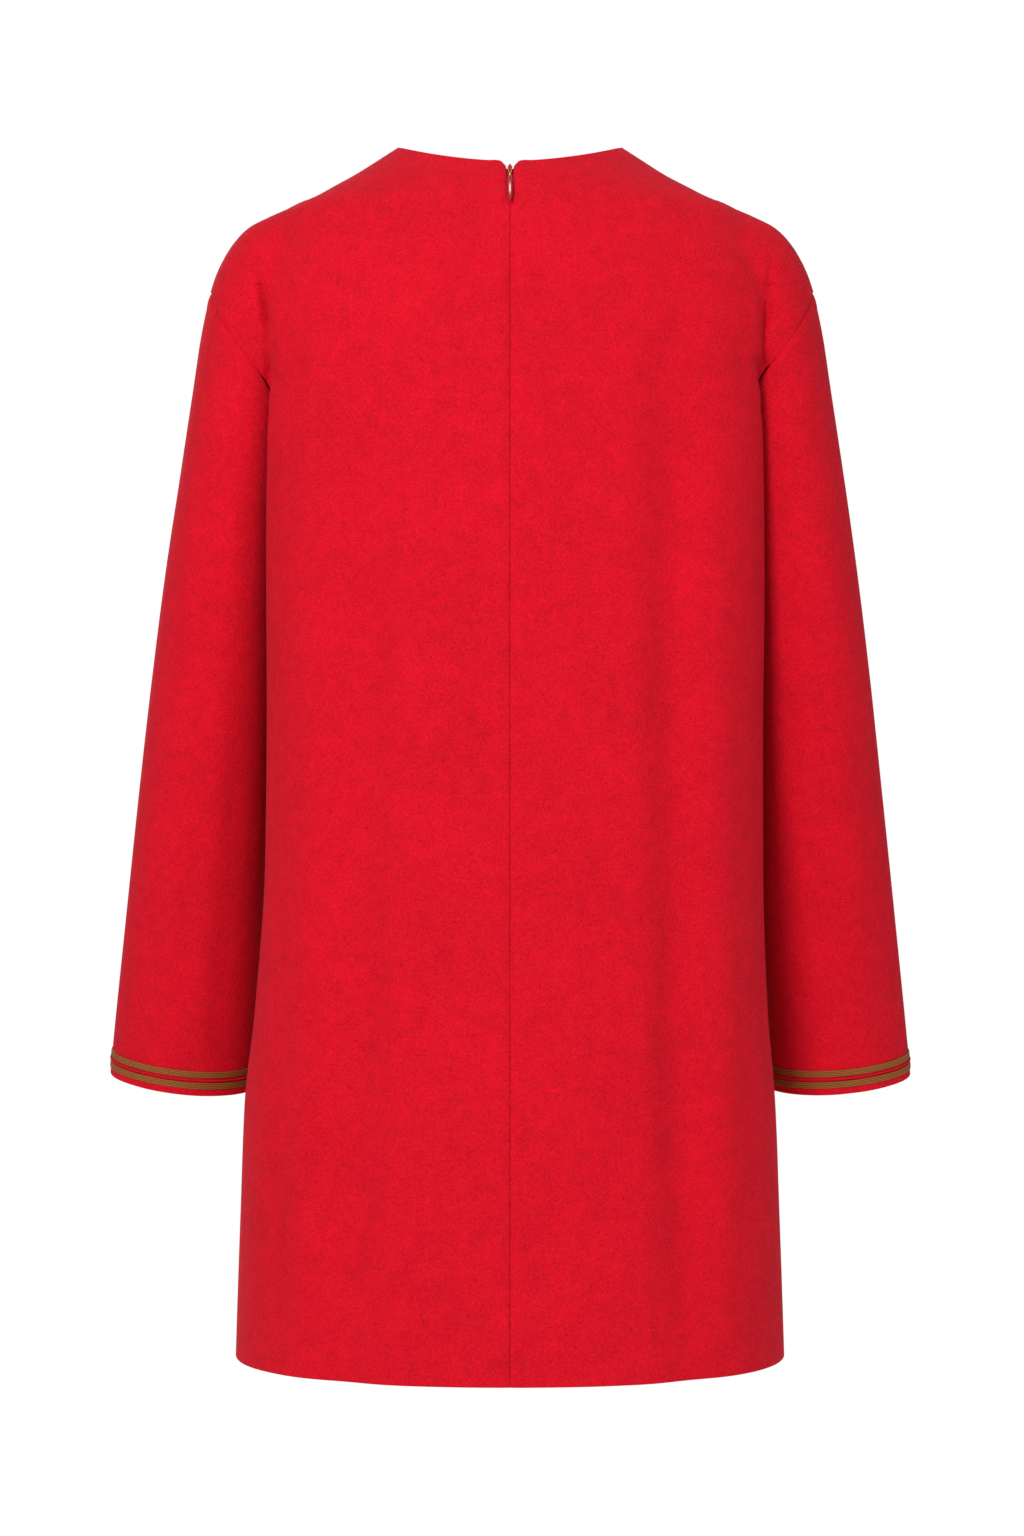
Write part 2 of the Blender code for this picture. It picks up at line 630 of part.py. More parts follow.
def build_tape(side, name, outer_panel, material):
    """One half of the zip behind the back panel: its woven tape, thicker where the coil runs."""
    rows = [row for row in outer_panel if ZIP_BOTTOM < row[0, 2] < ZIP_TOP]
    height = np.array([row[0, 2] for row in rows])
    half_gap = read_table(PARTED, PARTED_COLUMNS, "half_gap", height) + SEAM_GAP / 2
    across = np.array([0.0, COIL_WIDTH, COIL_WIDTH + COIL_STEP, TAPE_WIDTH])
    thickness = np.array([COIL_THICKNESS, COIL_THICKNESS, TAPE_THICKNESS, TAPE_THICKNESS])
    x = side * (half_gap[:, None] + across)
    z = np.broadcast_to(height[:, None], x.shape)
    reach = first_exit(body_distance, x, 0.0, 0.0, -1.0, z)
    surface = np.stack([x, -reach, z], axis=-1)
    normal = form_normals(surface)
    normal[..., 0] = 0.0
    normal = normal / np.linalg.norm(normal, axis=-1, keepdims=True)
    outer = surface - (CLOTH + TAPE_GAP) * normal
    inner = outer - thickness[:, None] * normal
    add_wall(name, outer, inner, material)


def zip_frame():
    """Place and lean of the pull tab's axis: a point just off the cloth, and the cloth's slope."""
    reach = first_exit(body_distance, 0.0, 0.0, 0.0, -1.0, np.array([PULL_AXIS_HEIGHT]))
    surface = np.array([[0.0, -reach[0], PULL_AXIS_HEIGHT]])
    normal = form_normals(surface)[0]
    normal[0] = 0.0
    normal = normal / np.linalg.norm(normal)
    place = surface[0] + PULL_AXIS_OUT * normal
    lean = -math.atan2(normal[2], -normal[1])
    return place, lean


def loops_object(name, loops, material):
    """A solid from equal closed loops, each joined to the next and the last to the first."""
    count = len(loops[0])
    vertices = [point for loop in loops for point in loop]
    faces = []
    for k in range(len(loops)):
        this = k * count
        following = (k + 1) % len(loops) * count
        for i in range(count):
            j = (i + 1) % count
            faces.append((this + i, this + j, following + j, following + i))
    return add_object(name, vertices, faces, material)


def build_pull(material):
    """The pull tab: a flat drop of metal with an eye near its top, hung on the slider's bail."""
    low = -RIM - EYE_LENGTH
    eye = [(-EYE_HALF_WIDTH, -RIM), (EYE_HALF_WIDTH, -RIM), (EYE_HALF_WIDTH, low / 2),
           (EYE_HALF_WIDTH, low), (0.0, low - EYE_POINT), (-EYE_HALF_WIDTH, low), (-EYE_HALF_WIDTH, low / 2)]
    wide = PULL_HALF_WIDTH
    top = wide * PULL_TOP_SHARE
    rim = [(-top, RIM), (top, RIM), (wide, -PULL_SHOULDER), (wide, -PULL_TAPER),
           (0.0, -PULL_LENGTH), (-wide, -PULL_TAPER), (-wide, -PULL_SHOULDER)]
    half = PULL_THICKNESS / 2
    loops = []
    for outline, depth in ((rim, -half), (rim, half), (eye, half), (eye, -half)):
        loops.append([(x, depth, z) for x, z in outline])
    return loops_object("zip_pull", loops, material)


def bail_outline():
    """Arch of the bail in the plane across the zip, round the pull tab's axis, with straight legs."""
    foot = -PULL_AXIS_OUT - CLOTH
    angle = np.linspace(0.0, math.pi, BAIL_STEPS + 1)
    outer = [(-BAIL_OUTER * math.sin(a), BAIL_OUTER * math.cos(a)) for a in angle]
    inner = [(-BAIL_INNER * math.sin(a), BAIL_INNER * math.cos(a)) for a in angle[::-1]]
    outer = [(-foot, BAIL_OUTER)] + outer + [(-foot, -BAIL_OUTER)]
    inner = [(-foot, -BAIL_INNER)] + inner + [(-foot, BAIL_INNER)]
    return outer + inner


def prism(name, outline, thin_axis, low, high, material):
    """A solid from a closed outline in two axes, carried between two values of the third."""
    first = [list(point) for point in outline]
    vertices = []
    for value in (low, high):
        for point in first:
            corner = list(point)
            corner.insert(thin_axis, value)
            vertices.append(corner)
    count = len(outline)
    faces = [tuple(range(count))[::-1], tuple(range(count, 2 * count))]
    for i in range(count):
        j = (i + 1) % count
        faces.append((i, j, count + j, count + i))
    return add_object(name, vertices, faces, material)


def build_slider(material):
    """The slider: a crown that shows in the notch, a body behind the cloth, and the bail's arch."""
    floor = PULL_AXIS_OUT + SLIDER_DEPTH
    top = PULL_AXIS_OUT - CROWN_PROUD
    middle = (CROWN_TOP + CROWN_BOTTOM) / 2 + CROWN_SHOULDER
    foot = CROWN_HALF_WIDTH * CROWN_FOOT_SHARE
    crown = [(0.0, CROWN_TOP), (CROWN_HALF_WIDTH, middle), (foot, CROWN_BOTTOM),
             (-foot, CROWN_BOTTOM), (-CROWN_HALF_WIDTH, middle)]
    slider = prism("zip_slider", crown, 1, top, floor, material)
    neck_top = CROWN_BOTTOM + NECK_OVERLAP
    neck_out = PULL_AXIS_OUT + CLOTH - NECK_OVERLAP
    neck = [(neck_out, neck_top), (neck_out, -BAIL_OUTER), (floor, -BAIL_OUTER), (floor, neck_top)]
    bail_side = BAIL_HALF_WIDTH - BAIL_INSET
    parts = [prism("slider_neck", neck, 0, -BAIL_HALF_WIDTH, BAIL_HALF_WIDTH, material),
             prism("slider_bail", bail_outline(), 0, -bail_side, bail_side, material)]
    for part in parts:
        part.hide_render = True
        part.display_type = "WIRE"
        join = slider.modifiers.new(part.name, "BOOLEAN")
        join.operation = "UNION"
        join.solver = "EXACT"
        join.object = part
    return [slider] + parts


wool = add_material("wool_crepe", WOOL_RED, 0.9)
braid = add_material("braid", BRAID_BRONZE, 0.75)
tape = add_material("zip_tape", TAPE_RED, 0.85)
gold = add_material("zip_metal", METAL_GOLD, 0.35, 1.0)
enamel = add_material("zip_enamel", ENAMEL_RED, 0.3)

for SIDE, WORD in ((-1, "left"), (1, "right")):
    panel = build_back(SIDE, f"back_{WORD}", wool)
    build_sleeve(SIDE, f"sleeve_{WORD}", wool)
    build_cuff_trim(SIDE, WORD, braid, wool)
    build_tape(SIDE, f"zip_tape_{WORD}", panel, tape)
build_front(wool)

axis_place, axis_lean = zip_frame()
for metal in build_slider(gold) + [build_pull(enamel)]:
    metal.location = axis_place
    metal.rotation_euler = (axis_lean, 0.0, 0.0)
bpy.context.view_layer.update()
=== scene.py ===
"""A long-sleeved A-line dress of red napped wool crepe, hollow and hanging as it is worn.

It is built up as a dressmaker would: two back panels, the front, two sleeves, then the braid round
the cuffs, and last the zip. All cloth follows one form, which is read from the same tables as the
solids of the frame, so each piece lies where the frame has it.
"""
import math

import bpy
import numpy as np
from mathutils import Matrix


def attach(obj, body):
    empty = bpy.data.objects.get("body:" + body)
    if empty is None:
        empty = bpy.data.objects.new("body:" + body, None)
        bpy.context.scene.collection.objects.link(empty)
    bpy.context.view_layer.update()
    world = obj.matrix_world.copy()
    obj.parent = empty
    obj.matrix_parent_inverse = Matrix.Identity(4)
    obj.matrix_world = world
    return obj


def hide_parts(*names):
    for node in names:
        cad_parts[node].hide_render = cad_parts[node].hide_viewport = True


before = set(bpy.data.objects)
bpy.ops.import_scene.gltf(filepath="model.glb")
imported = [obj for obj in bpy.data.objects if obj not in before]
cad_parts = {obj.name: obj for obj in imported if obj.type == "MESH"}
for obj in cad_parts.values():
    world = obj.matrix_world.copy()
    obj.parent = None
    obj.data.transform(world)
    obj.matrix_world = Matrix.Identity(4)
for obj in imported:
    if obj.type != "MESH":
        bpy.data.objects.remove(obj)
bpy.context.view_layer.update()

# Wool crepe
# A heavy wool crepe with a short brushed nap: matt, a little rough to the touch, and paler where it
# is seen at a slant. The same bolt cuts the panels, the sleeves and the cord between the braids.


def add_group(name, inputs, outputs):
    """An empty shader node group with named sockets: (name, kind, value) in and (name, kind) out."""
    group = bpy.data.node_groups.new(name, "ShaderNodeTree")
    for label, kind, value in inputs:
        socket = group.interface.new_socket(label, in_out="INPUT", socket_type=f"NodeSocket{kind}")
        socket.default_value = value
    for label, kind in outputs:
        group.interface.new_socket(label, in_out="OUTPUT", socket_type=f"NodeSocket{kind}")
    source = group.nodes.new("NodeGroupInput")
    target = group.nodes.new("NodeGroupOutput")
    return group, source, target


def add_node(tree, kind, **values):
    """A node of one kind, with its settings and its unlinked inputs given by name."""
    node = tree.nodes.new(kind)
    for name, value in values.items():
        if hasattr(node, name):
            setattr(node, name, value)
        else:
            node.inputs[name.replace("_", " ")].default_value = value
    return node


def add_math(tree, operation, *values):
    """The output of one sum, whose inputs are numbers or other outputs."""
    node = add_node(tree, "ShaderNodeMath", operation=operation)
    for socket, value in zip(node.inputs, values):
        if isinstance(value, float):
            socket.default_value = value
        else:
            tree.links.new(value, socket)
    return node.outputs[0]


def add_noise(tree, **values):
    """A noise pattern fixed to the piece by its object coordinates."""
    noise = add_node(tree, "ShaderNodeTexNoise", **values)
    place = add_node(tree, "ShaderNodeTexCoord")
    tree.links.new(place.outputs["Object"], noise.inputs["Vector"])
    return noise.outputs["Fac"]


def add_bump(tree, shader, height, strength, distance):
    """Stand a height out of the surface as a bump."""
    relief = add_node(tree, "ShaderNodeBump", Strength=strength, Distance=distance)
    tree.links.new(height, relief.inputs["Height"])
    tree.links.new(relief.outputs[0], shader.inputs["Normal"])


CURL_SCALE = 640.0
CURL_TWIST = 0.9
CURL_WIDTH = 0.140
CURL_SHARE = 0.34
# Scale, detail, twist and share of the fine fuzz, the small clumps and the broad mottling.
NAP_LAYERS = (
    (850.0, 2.0, 0.0, 0.42),
    (95.0, 2.0, 0.4, 0.14),
    (18.0, 3.0, 0.2, 0.10),
)
NAP_SWING = 5.0


def build_nap_group():
    """Short curly nap as a colour and a height.

    The curls are thin lines where a noise passes its middle value: 1 - |noise - 0.5| / width. Finer
    fuzz, small clumps and broad mottling are added in fixed shares, and the sum runs from -1 to 1.
    The colour is scaled by the same sum as the height: painted shade in the nap's hollows and painted
    light on its curls and clumps, besides the random mottling of its tone.
    """
    inputs = [("Color", "Color", (0.5, 0.5, 0.5, 1.0)), ("Contrast", "Float", 0.3)]
    outputs = [("Color", "Color"), ("Height", "Float")]
    group, source, target = add_group("curly_nap", inputs, outputs)
    curls = add_noise(group, Scale=CURL_SCALE, Detail=1.0, Distortion=CURL_TWIST)
    offset = add_math(group, "SUBTRACT", curls, 0.5)
    ridge = add_math(group, "DIVIDE", add_math(group, "ABSOLUTE", offset), CURL_WIDTH)
    curl = add_math(group, "SUBTRACT", 1.0, add_math(group, "MINIMUM", ridge, 2.0))
    total = add_math(group, "MULTIPLY", curl, CURL_SHARE)
    for scale, detail, twist, share in NAP_LAYERS:
        layer = add_noise(group, Scale=scale, Detail=detail, Distortion=twist)
        swing = add_math(group, "MULTIPLY_ADD", layer, NAP_SWING, -NAP_SWING / 2)
        total = add_math(group, "ADD", total, add_math(group, "MULTIPLY", swing, share))
    # Painted shade and light: the colour darkens in the nap's hollows and lightens on its curls, as its
    # height does.
    shade = add_math(group, "MULTIPLY_ADD", total, source.outputs["Contrast"], 1.0)
    tint = add_node(group, "ShaderNodeVectorMath", operation="SCALE")
    group.links.new(source.outputs["Color"], tint.inputs[0])
    group.links.new(shade, tint.inputs["Scale"])
    group.links.new(tint.outputs[0], target.inputs["Color"])
    group.links.new(total, target.inputs["Height"])
    return group


nap_group = build_nap_group()


def new_material(name):
    """A material with its tree and its one shader."""
    material = bpy.data.materials.new(name)
    material.use_nodes = True
    return material, material.node_tree, material.node_tree.nodes["Principled BSDF"]


# The nap's contrast sets how far the colour swings with the nap's height: painted shade in the hollows,
# painted light on the curls, and random mottling.
WOOL_RED = (0.495, 0.0028, 0.0125, 1.0)
NAP_SHADE_AND_MOTTLE = 0.46
NAP_BUMP = 0.8
NAP_HEIGHT = 0.0004


def wool_material():
    """Wool crepe: the nap paints shade and light into its colour and stands as a fine bump, under a soft
    sheen.
    """
    material, tree, shader = new_material("wool_crepe")
    nap = add_node(tree, "ShaderNodeGroup", node_tree=nap_group)
    nap.inputs["Color"].default_value = WOOL_RED
    nap.inputs["Contrast"].default_value = NAP_SHADE_AND_MOTTLE
    tree.links.new(nap.outputs["Color"], shader.inputs["Base Color"])
    add_bump(tree, shader, nap.outputs["Height"], NAP_BUMP, NAP_HEIGHT)
    shader.inputs["Roughness"].default_value = 0.92
    shader.inputs["Specular IOR Level"].default_value = 0.10
    shader.inputs["Sheen Weight"].default_value = 0.07
    shader.inputs["Sheen Roughness"].default_value = 0.45
    shader.inputs["Sheen Tint"].default_value = (1.0, 0.18, 0.25, 1.0)
    return material


wool = wool_material()

# Back panels
# Two mirror-cut panels, sewn together down the centre back below the zip. They run from the neckline
# to the hem, take in the back of the shoulder, and end at the side seam and the armhole.

CLOTH = 0.002
HEM_HEIGHT = -0.842
TORSO_COLUMNS = ("height", "half_width", "back", "front", "power", "sway")
TORSO = (
    (0.010, 0.0620, 0.030, 0.008, 2.00, 0.0000),
    (0.000, 0.0780, 0.043, 0.014, 2.00, 0.0000),
    (-0.009, 0.0918, 0.0545, 0.019, 2.00, 0.0000),
    (-0.019, 0.1075, 0.065, 0.024, 2.05, 0.0000),
    (-0.030, 0.1273, 0.076, 0.033, 2.10, 0.0005),
    (-0.036, 0.1380, 0.0805, 0.038, 2.15, 0.0008),
    (-0.043, 0.1528, 0.085, 0.043, 2.20, 0.0010),
    (-0.050, 0.1622, 0.0885, 0.049, 2.25, 0.0013),
    (-0.058, 0.1668, 0.092, 0.055, 2.33, 0.0016),
    (-0.070, 0.1695, 0.096, 0.064, 2.45, 0.0020),
    (-0.085, 0.1750, 0.099, 0.073, 2.60, 0.0030),
    (-0.120, 0.1800, 0.104, 0.089, 2.80, 0.0035),
    (-0.170, 0.1780, 0.108, 0.104, 2.90, 0.0040),
    (-0.225, 0.1765, 0.111, 0.113, 2.90, 0.0040),
    (-0.300, 0.1745, 0.113, 0.116, 2.90, 0.0040),
    (-0.400, 0.1728, 0.115, 0.117, 2.90, 0.0035),
    (-0.500, 0.1735, 0.119, 0.120, 2.85, 0.0030),
    (-0.600, 0.1785, 0.124, 0.125, 2.70, 0.0010),
    (-0.666, 0.1848, 0.128, 0.128, 2.60, 0.0000),
    (-0.740, 0.1878, 0.133, 0.133, 2.40, 0.0000),
    (-0.842, 0.1913, 0.140, 0.140, 2.28, 0.0000),
    (-0.870, 0.1920, 0.142, 0.142, 2.28, 0.0000),
)
ARM_COLUMNS = ("height", "outer", "arm_width", "arm_depth", "arm_y", "arm_sway")
ARM = (
    (-0.043, 0.1490, 0.0040, 0.004, 0.000, 0.0010),
    (-0.049, 0.1672, 0.0120, 0.015, 0.000, 0.0011),
    (-0.056, 0.1831, 0.0200, 0.027, 0.000, 0.0012),
    (-0.065, 0.1925, 0.0280, 0.0385, 0.000, 0.0014),
    (-0.076, 0.2000, 0.0325, 0.0465, 0.000, 0.0014),
    (-0.093, 0.2079, 0.0355, 0.0530, 0.001, 0.0014),
    (-0.127, 0.2167, 0.0370, 0.0575, 0.004, 0.0014),
    (-0.169, 0.2236, 0.0378, 0.0590, 0.008, 0.0014),
    (-0.225, 0.2324, 0.0388, 0.0590, 0.011, 0.0014),
    (-0.294, 0.2431, 0.0410, 0.0580, 0.016, 0.0010),
    (-0.378, 0.2545, 0.0440, 0.0565, 0.025, 0.0007),
    (-0.463, 0.2652, 0.0469, 0.0545, 0.038, 0.0004),
    (-0.549, 0.2755, 0.0497, 0.0515, 0.051, 0.0003),
    (-0.629, 0.2849, 0.0519, 0.0485, 0.063, 0.0002),
    (-0.690, 0.2914, 0.0535, 0.0470, 0.072, 0.0002),
)
# Side that it faces (-1 behind, 1 in front), x at its top and at the hem, height of its top, depth,
# width, and the share of its depth that is left at the hem.
FOLDS = (
    (-1, -0.112, -0.122, -0.200, 0.0028, 0.022, 0.3),
    (-1, 0.104, 0.118, -0.130, 0.0040, 0.026, 0.3),
    (1, -0.106, -0.118, -0.190, 0.0034, 0.024, 0.6),
    (1, 0.098, 0.108, -0.260, 0.0040, 0.028, 0.7),
    (1, -0.030, -0.044, -0.420, 0.0024, 0.030, 1.0),
)
FOLD_START = 0.16
NECK_HALF_WIDTH = 0.078
NECK_BACK_HEIGHT = -0.0192
NECK_FRONT_HEIGHT = -0.085
NECK_LOWEST = -0.100
ARMHOLE_TOP = -0.101
ARMHOLE_BOTTOM = -0.219
ARMHOLE_POWER = 1.30
ARM_CLEARANCE = 0.005
SEALED = -0.004
OPEN_TOP = {-1: -0.1593, 1: -0.1553}
OPEN_SPAN = 0.008
PRESS_RADIUS = 0.007
SHARP_BLEND = 0.004
SHOULDER_BLEND = 0.016
BLEND_LOW = -0.105
BLEND_SPAN = 0.050
FAN_DEPTH = 0.10
FAN_TOP = -0.03
FAN_SPAN = 0.07


def read_table(table, columns, name, height):
    """Value of one column at any height, on a smooth curve that never overshoots its rows."""
    rows = np.array(table)[::-1]
    levels = rows[:, 0]
    values = rows[:, columns.index(name)]
    step = np.diff(levels)
    slope = np.diff(values) / step
    tangent = np.zeros_like(values)
    tangent[0] = slope[0]
    tangent[-1] = slope[-1]
    same_way = slope[:-1] * slope[1:] > 0
    lower = np.where(same_way, slope[:-1], 1.0)
    upper = np.where(same_way, slope[1:], 1.0)
    lower_weight = 2 * step[1:] + step[:-1]
    upper_weight = step[1:] + 2 * step[:-1]
    mean = (lower_weight + upper_weight) / (lower_weight / lower + upper_weight / upper)
    tangent[1:-1] = np.where(same_way, mean, 0.0)
    height = np.clip(height, levels[0], levels[-1])
    i = np.clip(np.searchsorted(levels, height) - 1, 0, len(levels) - 2)
    t = (height - levels[i]) / step[i]
    start = (1 + 2 * t) * (1 - t) ** 2 * values[i] + t * (1 - t) ** 2 * step[i] * tangent[i]
    end = t * t * (3 - 2 * t) * values[i + 1] + t * t * (t - 1) * step[i] * tangent[i + 1]
    return start + end


def ease(t):
    """Rise from 0 to 1 with a level start and end: 3t^2 - 2t^3."""
    t = np.clip(t, 0.0, 1.0)
    return t * t * (3 - 2 * t)


def smooth_min(a, b, radius):
    """The smaller of two distances, with the meeting rounded over the radius."""
    share = np.clip(0.5 + 0.5 * (b - a) / radius, 0.0, 1.0)
    return b + (a - b) * share - radius * share * (1 - share)


def oval_distance(x, y, half_x, half_y, power):
    """Distance in plan from a superellipse, below zero inside it."""
    u = np.abs(x) / half_x + 1e-9
    v = np.abs(y) / half_y + 1e-9
    reach = (u ** power + v ** power) ** (1 / power)
    slope = reach ** (1 - power) * np.hypot(u ** (power - 1) / half_x, v ** (power - 1) / half_y)
    return (reach - 1) / slope


def plan_at(height):
    """All that the tables say of the level section at each height."""
    height = np.asarray(height, dtype=float)
    plan = {name: read_table(TORSO, TORSO_COLUMNS, name, height) for name in TORSO_COLUMNS[1:]}
    for name in ARM_COLUMNS[1:]:
        plan[name] = read_table(ARM, ARM_COLUMNS, name, height)
    plan["height"] = height
    plan["arm_x"] = plan["outer"] - plan["arm_width"]
    for side, top in OPEN_TOP.items():
        opened = ease((top - height) / OPEN_SPAN)
        plan["clearance", side] = SEALED + (ARM_CLEARANCE - SEALED) * opened
    plan["blend"] = SHARP_BLEND + SHOULDER_BLEND * ease((height - BLEND_LOW) / BLEND_SPAN)
    return plan


def fold_depth(x, y, height):
    """Depth of the long soft troughs at a point of the back or the front."""
    depth = 0.0
    for facing, x_top, x_hem, top, trough, width, hem_share in FOLDS:
        share = np.clip((height - top) / (HEM_HEIGHT - top), 0.0, 1.0)
        middle = x_top + (x_hem - x_top) * share
        strength = trough * ease((top - height) / FOLD_START) * (1 + (hem_share - 1) * share)
        depth = depth + np.where(y * facing > 0, strength, 0.0) * np.exp(-((x - middle) / width) ** 2)
    return depth


def torso_distance(x, y, plan):
    """Distance in plan from the body's oval, with its long folds."""
    half_y = np.where(y < 0, plan["back"], plan["front"])
    pushed = y + np.sign(y) * fold_depth(x, y, plan["height"])
    return oval_distance(x - plan["sway"], pushed, plan["half_width"], half_y, plan["power"])


def arm_distance(x, y, plan):
    """Distance in plan from the oval of the arm on that side."""
    across = np.abs(x - plan["arm_sway"]) - plan["arm_x"]
    above = np.maximum(plan["height"] - ARM[0][0], 0.0)
    return oval_distance(across, y - plan["arm_y"], plan["arm_width"], plan["arm_depth"], 2.0) + above


def pressed_distance(x, y, plan, limb):
    """Distance in plan from the body with its sides pressed in by the arms, just clear of them."""
    clearance = np.where(x < 0, plan["clearance", -1], plan["clearance", 1])
    return -smooth_min(-torso_distance(x, y, plan), limb - clearance, PRESS_RADIUS)


def joined_distance(x, y, plan):
    """Distance in plan from body and arms together: the arm presses the body in, low down."""
    limb = arm_distance(x, y, plan)
    pressed = pressed_distance(x, y, plan, limb)
    return smooth_min(pressed, limb, plan["blend"])


def body_distance(x, y, plan):
    """Distance in plan from the panels' form, to which the arm only belongs above the underarm."""
    limb = arm_distance(x, y, plan)
    pressed = pressed_distance(x, y, plan, limb)
    return np.where(plan["height"] > ARMHOLE_BOTTOM, smooth_min(pressed, limb, plan["blend"]), pressed)


RAY_REACH = 0.34
RAY_SAMPLES = 171
HALVINGS = 18


def halved(is_within, low, high):
    """The last value within and the first beyond, closed in on by halving the stretch between them."""
    for _ in range(HALVINGS):
        middle = (low + high) / 2
        within = is_within(middle)
        low = np.where(within, middle, low)
        high = np.where(within, high, middle)
    return low, high


def first_exit(distance, origin_x, origin_y, way_x, way_y, height):
    """How far a level ray runs from its origin, through the form, to where it first leaves it."""
    origin_x, origin_y, way_x, way_y, height = np.broadcast_arrays(origin_x, origin_y, way_x, way_y, height)
    plan = plan_at(height)
    spread_plan = {name: value[..., None] for name, value in plan.items()}
    reach = np.linspace(0.0, RAY_REACH, RAY_SAMPLES)
    x = origin_x[..., None] + way_x[..., None] * reach
    y = origin_y[..., None] + way_y[..., None] * reach
    inside = distance(x, y, spread_plan) < 0
    entered = inside.argmax(-1)
    left = ~inside & (np.arange(RAY_SAMPLES) > entered[..., None])
    hit = left.argmax(-1)
    low, high = halved(lambda reach: distance(origin_x + way_x * reach, origin_y + way_y * reach, plan) < 0,
                       reach[np.maximum(hit - 1, 0)], reach[hit])
    return (low + high) / 2


def armhole_points(side, facing, rows):
    """Armhole seam from the underarm up to the shoulder seam, evenly spaced along its length."""
    angle = np.linspace(math.pi, 0.0, 361)
    height = ARMHOLE_TOP + (ARMHOLE_BOTTOM - ARMHOLE_TOP) * ((1 - np.cos(angle)) / 2) ** ARMHOLE_POWER
    plan = plan_at(height)
    centre_x = side * plan["arm_x"] + plan["arm_sway"]
    way_x = side * np.cos(angle)
    way_y = facing * np.sin(angle)
    reach = first_exit(joined_distance, centre_x, plan["arm_y"], way_x, way_y, height)
    line = np.stack([centre_x + way_x * reach, plan["arm_y"] + way_y * reach, height], axis=-1)
    length = arc_lengths(line, 0)
    return points_along(line, length, np.linspace(0.0, 1.0, rows + 1) * length[-1])


def arc_lengths(points, axis):
    """Distance along a line, or along a grid's rows or columns, from the first point."""
    step = np.linalg.norm(np.diff(points, axis=axis), axis=-1)
    lengths = np.cumsum(step, axis=axis)
    return np.insert(lengths, 0, 0.0, axis=axis)


def points_along(line, length, wanted):
    """Points of a line where its length so far has the wanted values."""
    return np.stack([np.interp(wanted, length, line[:, axis]) for axis in range(3)], axis=-1)


def level_edge(side, edge_y, height):
    """Points where the side or shoulder seam, at a given depth, leaves the form."""
    reach = first_exit(body_distance, 0.0, edge_y, float(side), 0.0, height)
    return np.stack([side * reach, edge_y + 0 * height, height], axis=-1)


def fan_depth(height):
    """How far behind the middle the rays of a row start: nothing at the neck, more lower down."""
    return FAN_DEPTH * ease((FAN_TOP - height) / FAN_SPAN)


def neck_rise(side, facing, neck_height, share):
    """How far the neckline has risen at each share of its rays: its plan is a quarter of an oval."""
    depth = read_table(TORSO, TORSO_COLUMNS, "back" if facing < 0 else "front", neck_height)
    turn = np.linspace(0.0, math.pi / 2, 91)
    x = side * NECK_HALF_WIDTH * np.sin(turn)
    y = facing * depth * np.cos(turn)
    low, _ = halved(lambda height: body_distance(x, y, plan_at(height)) < 0,
                    np.full(turn.shape, NECK_LOWEST), np.zeros(turn.shape))
    angle = np.arctan2(np.abs(y) + fan_depth(low), np.abs(x))
    rise = (low - low[0]) / (low[-1] - low[0])
    return np.interp(share, 1 - angle / (math.pi / 2), rise)


TIP_SHARE = 0.58
LEVEL_POWER = 1.6
CLOSING_LENGTH = 0.014
RAYS = 170
EDGE_STEPS = (0.0, 0.0002, 0.0005, 0.0009, 0.0015)
DENSE_FROM = 0.52
DENSE_PLACE = 0.68
SOFT_TOP = -0.140
SOFT_LOW = -0.186
SOFT_SPAN = 0.014
SOFT_NEAR = 0.006
SOFT_FAR = 0.130
SOFT_FADE = 0.080
SOFT_PASSES = 30
SOFT_STEP = 0.5
SOFT_UPRIGHT = 0.7


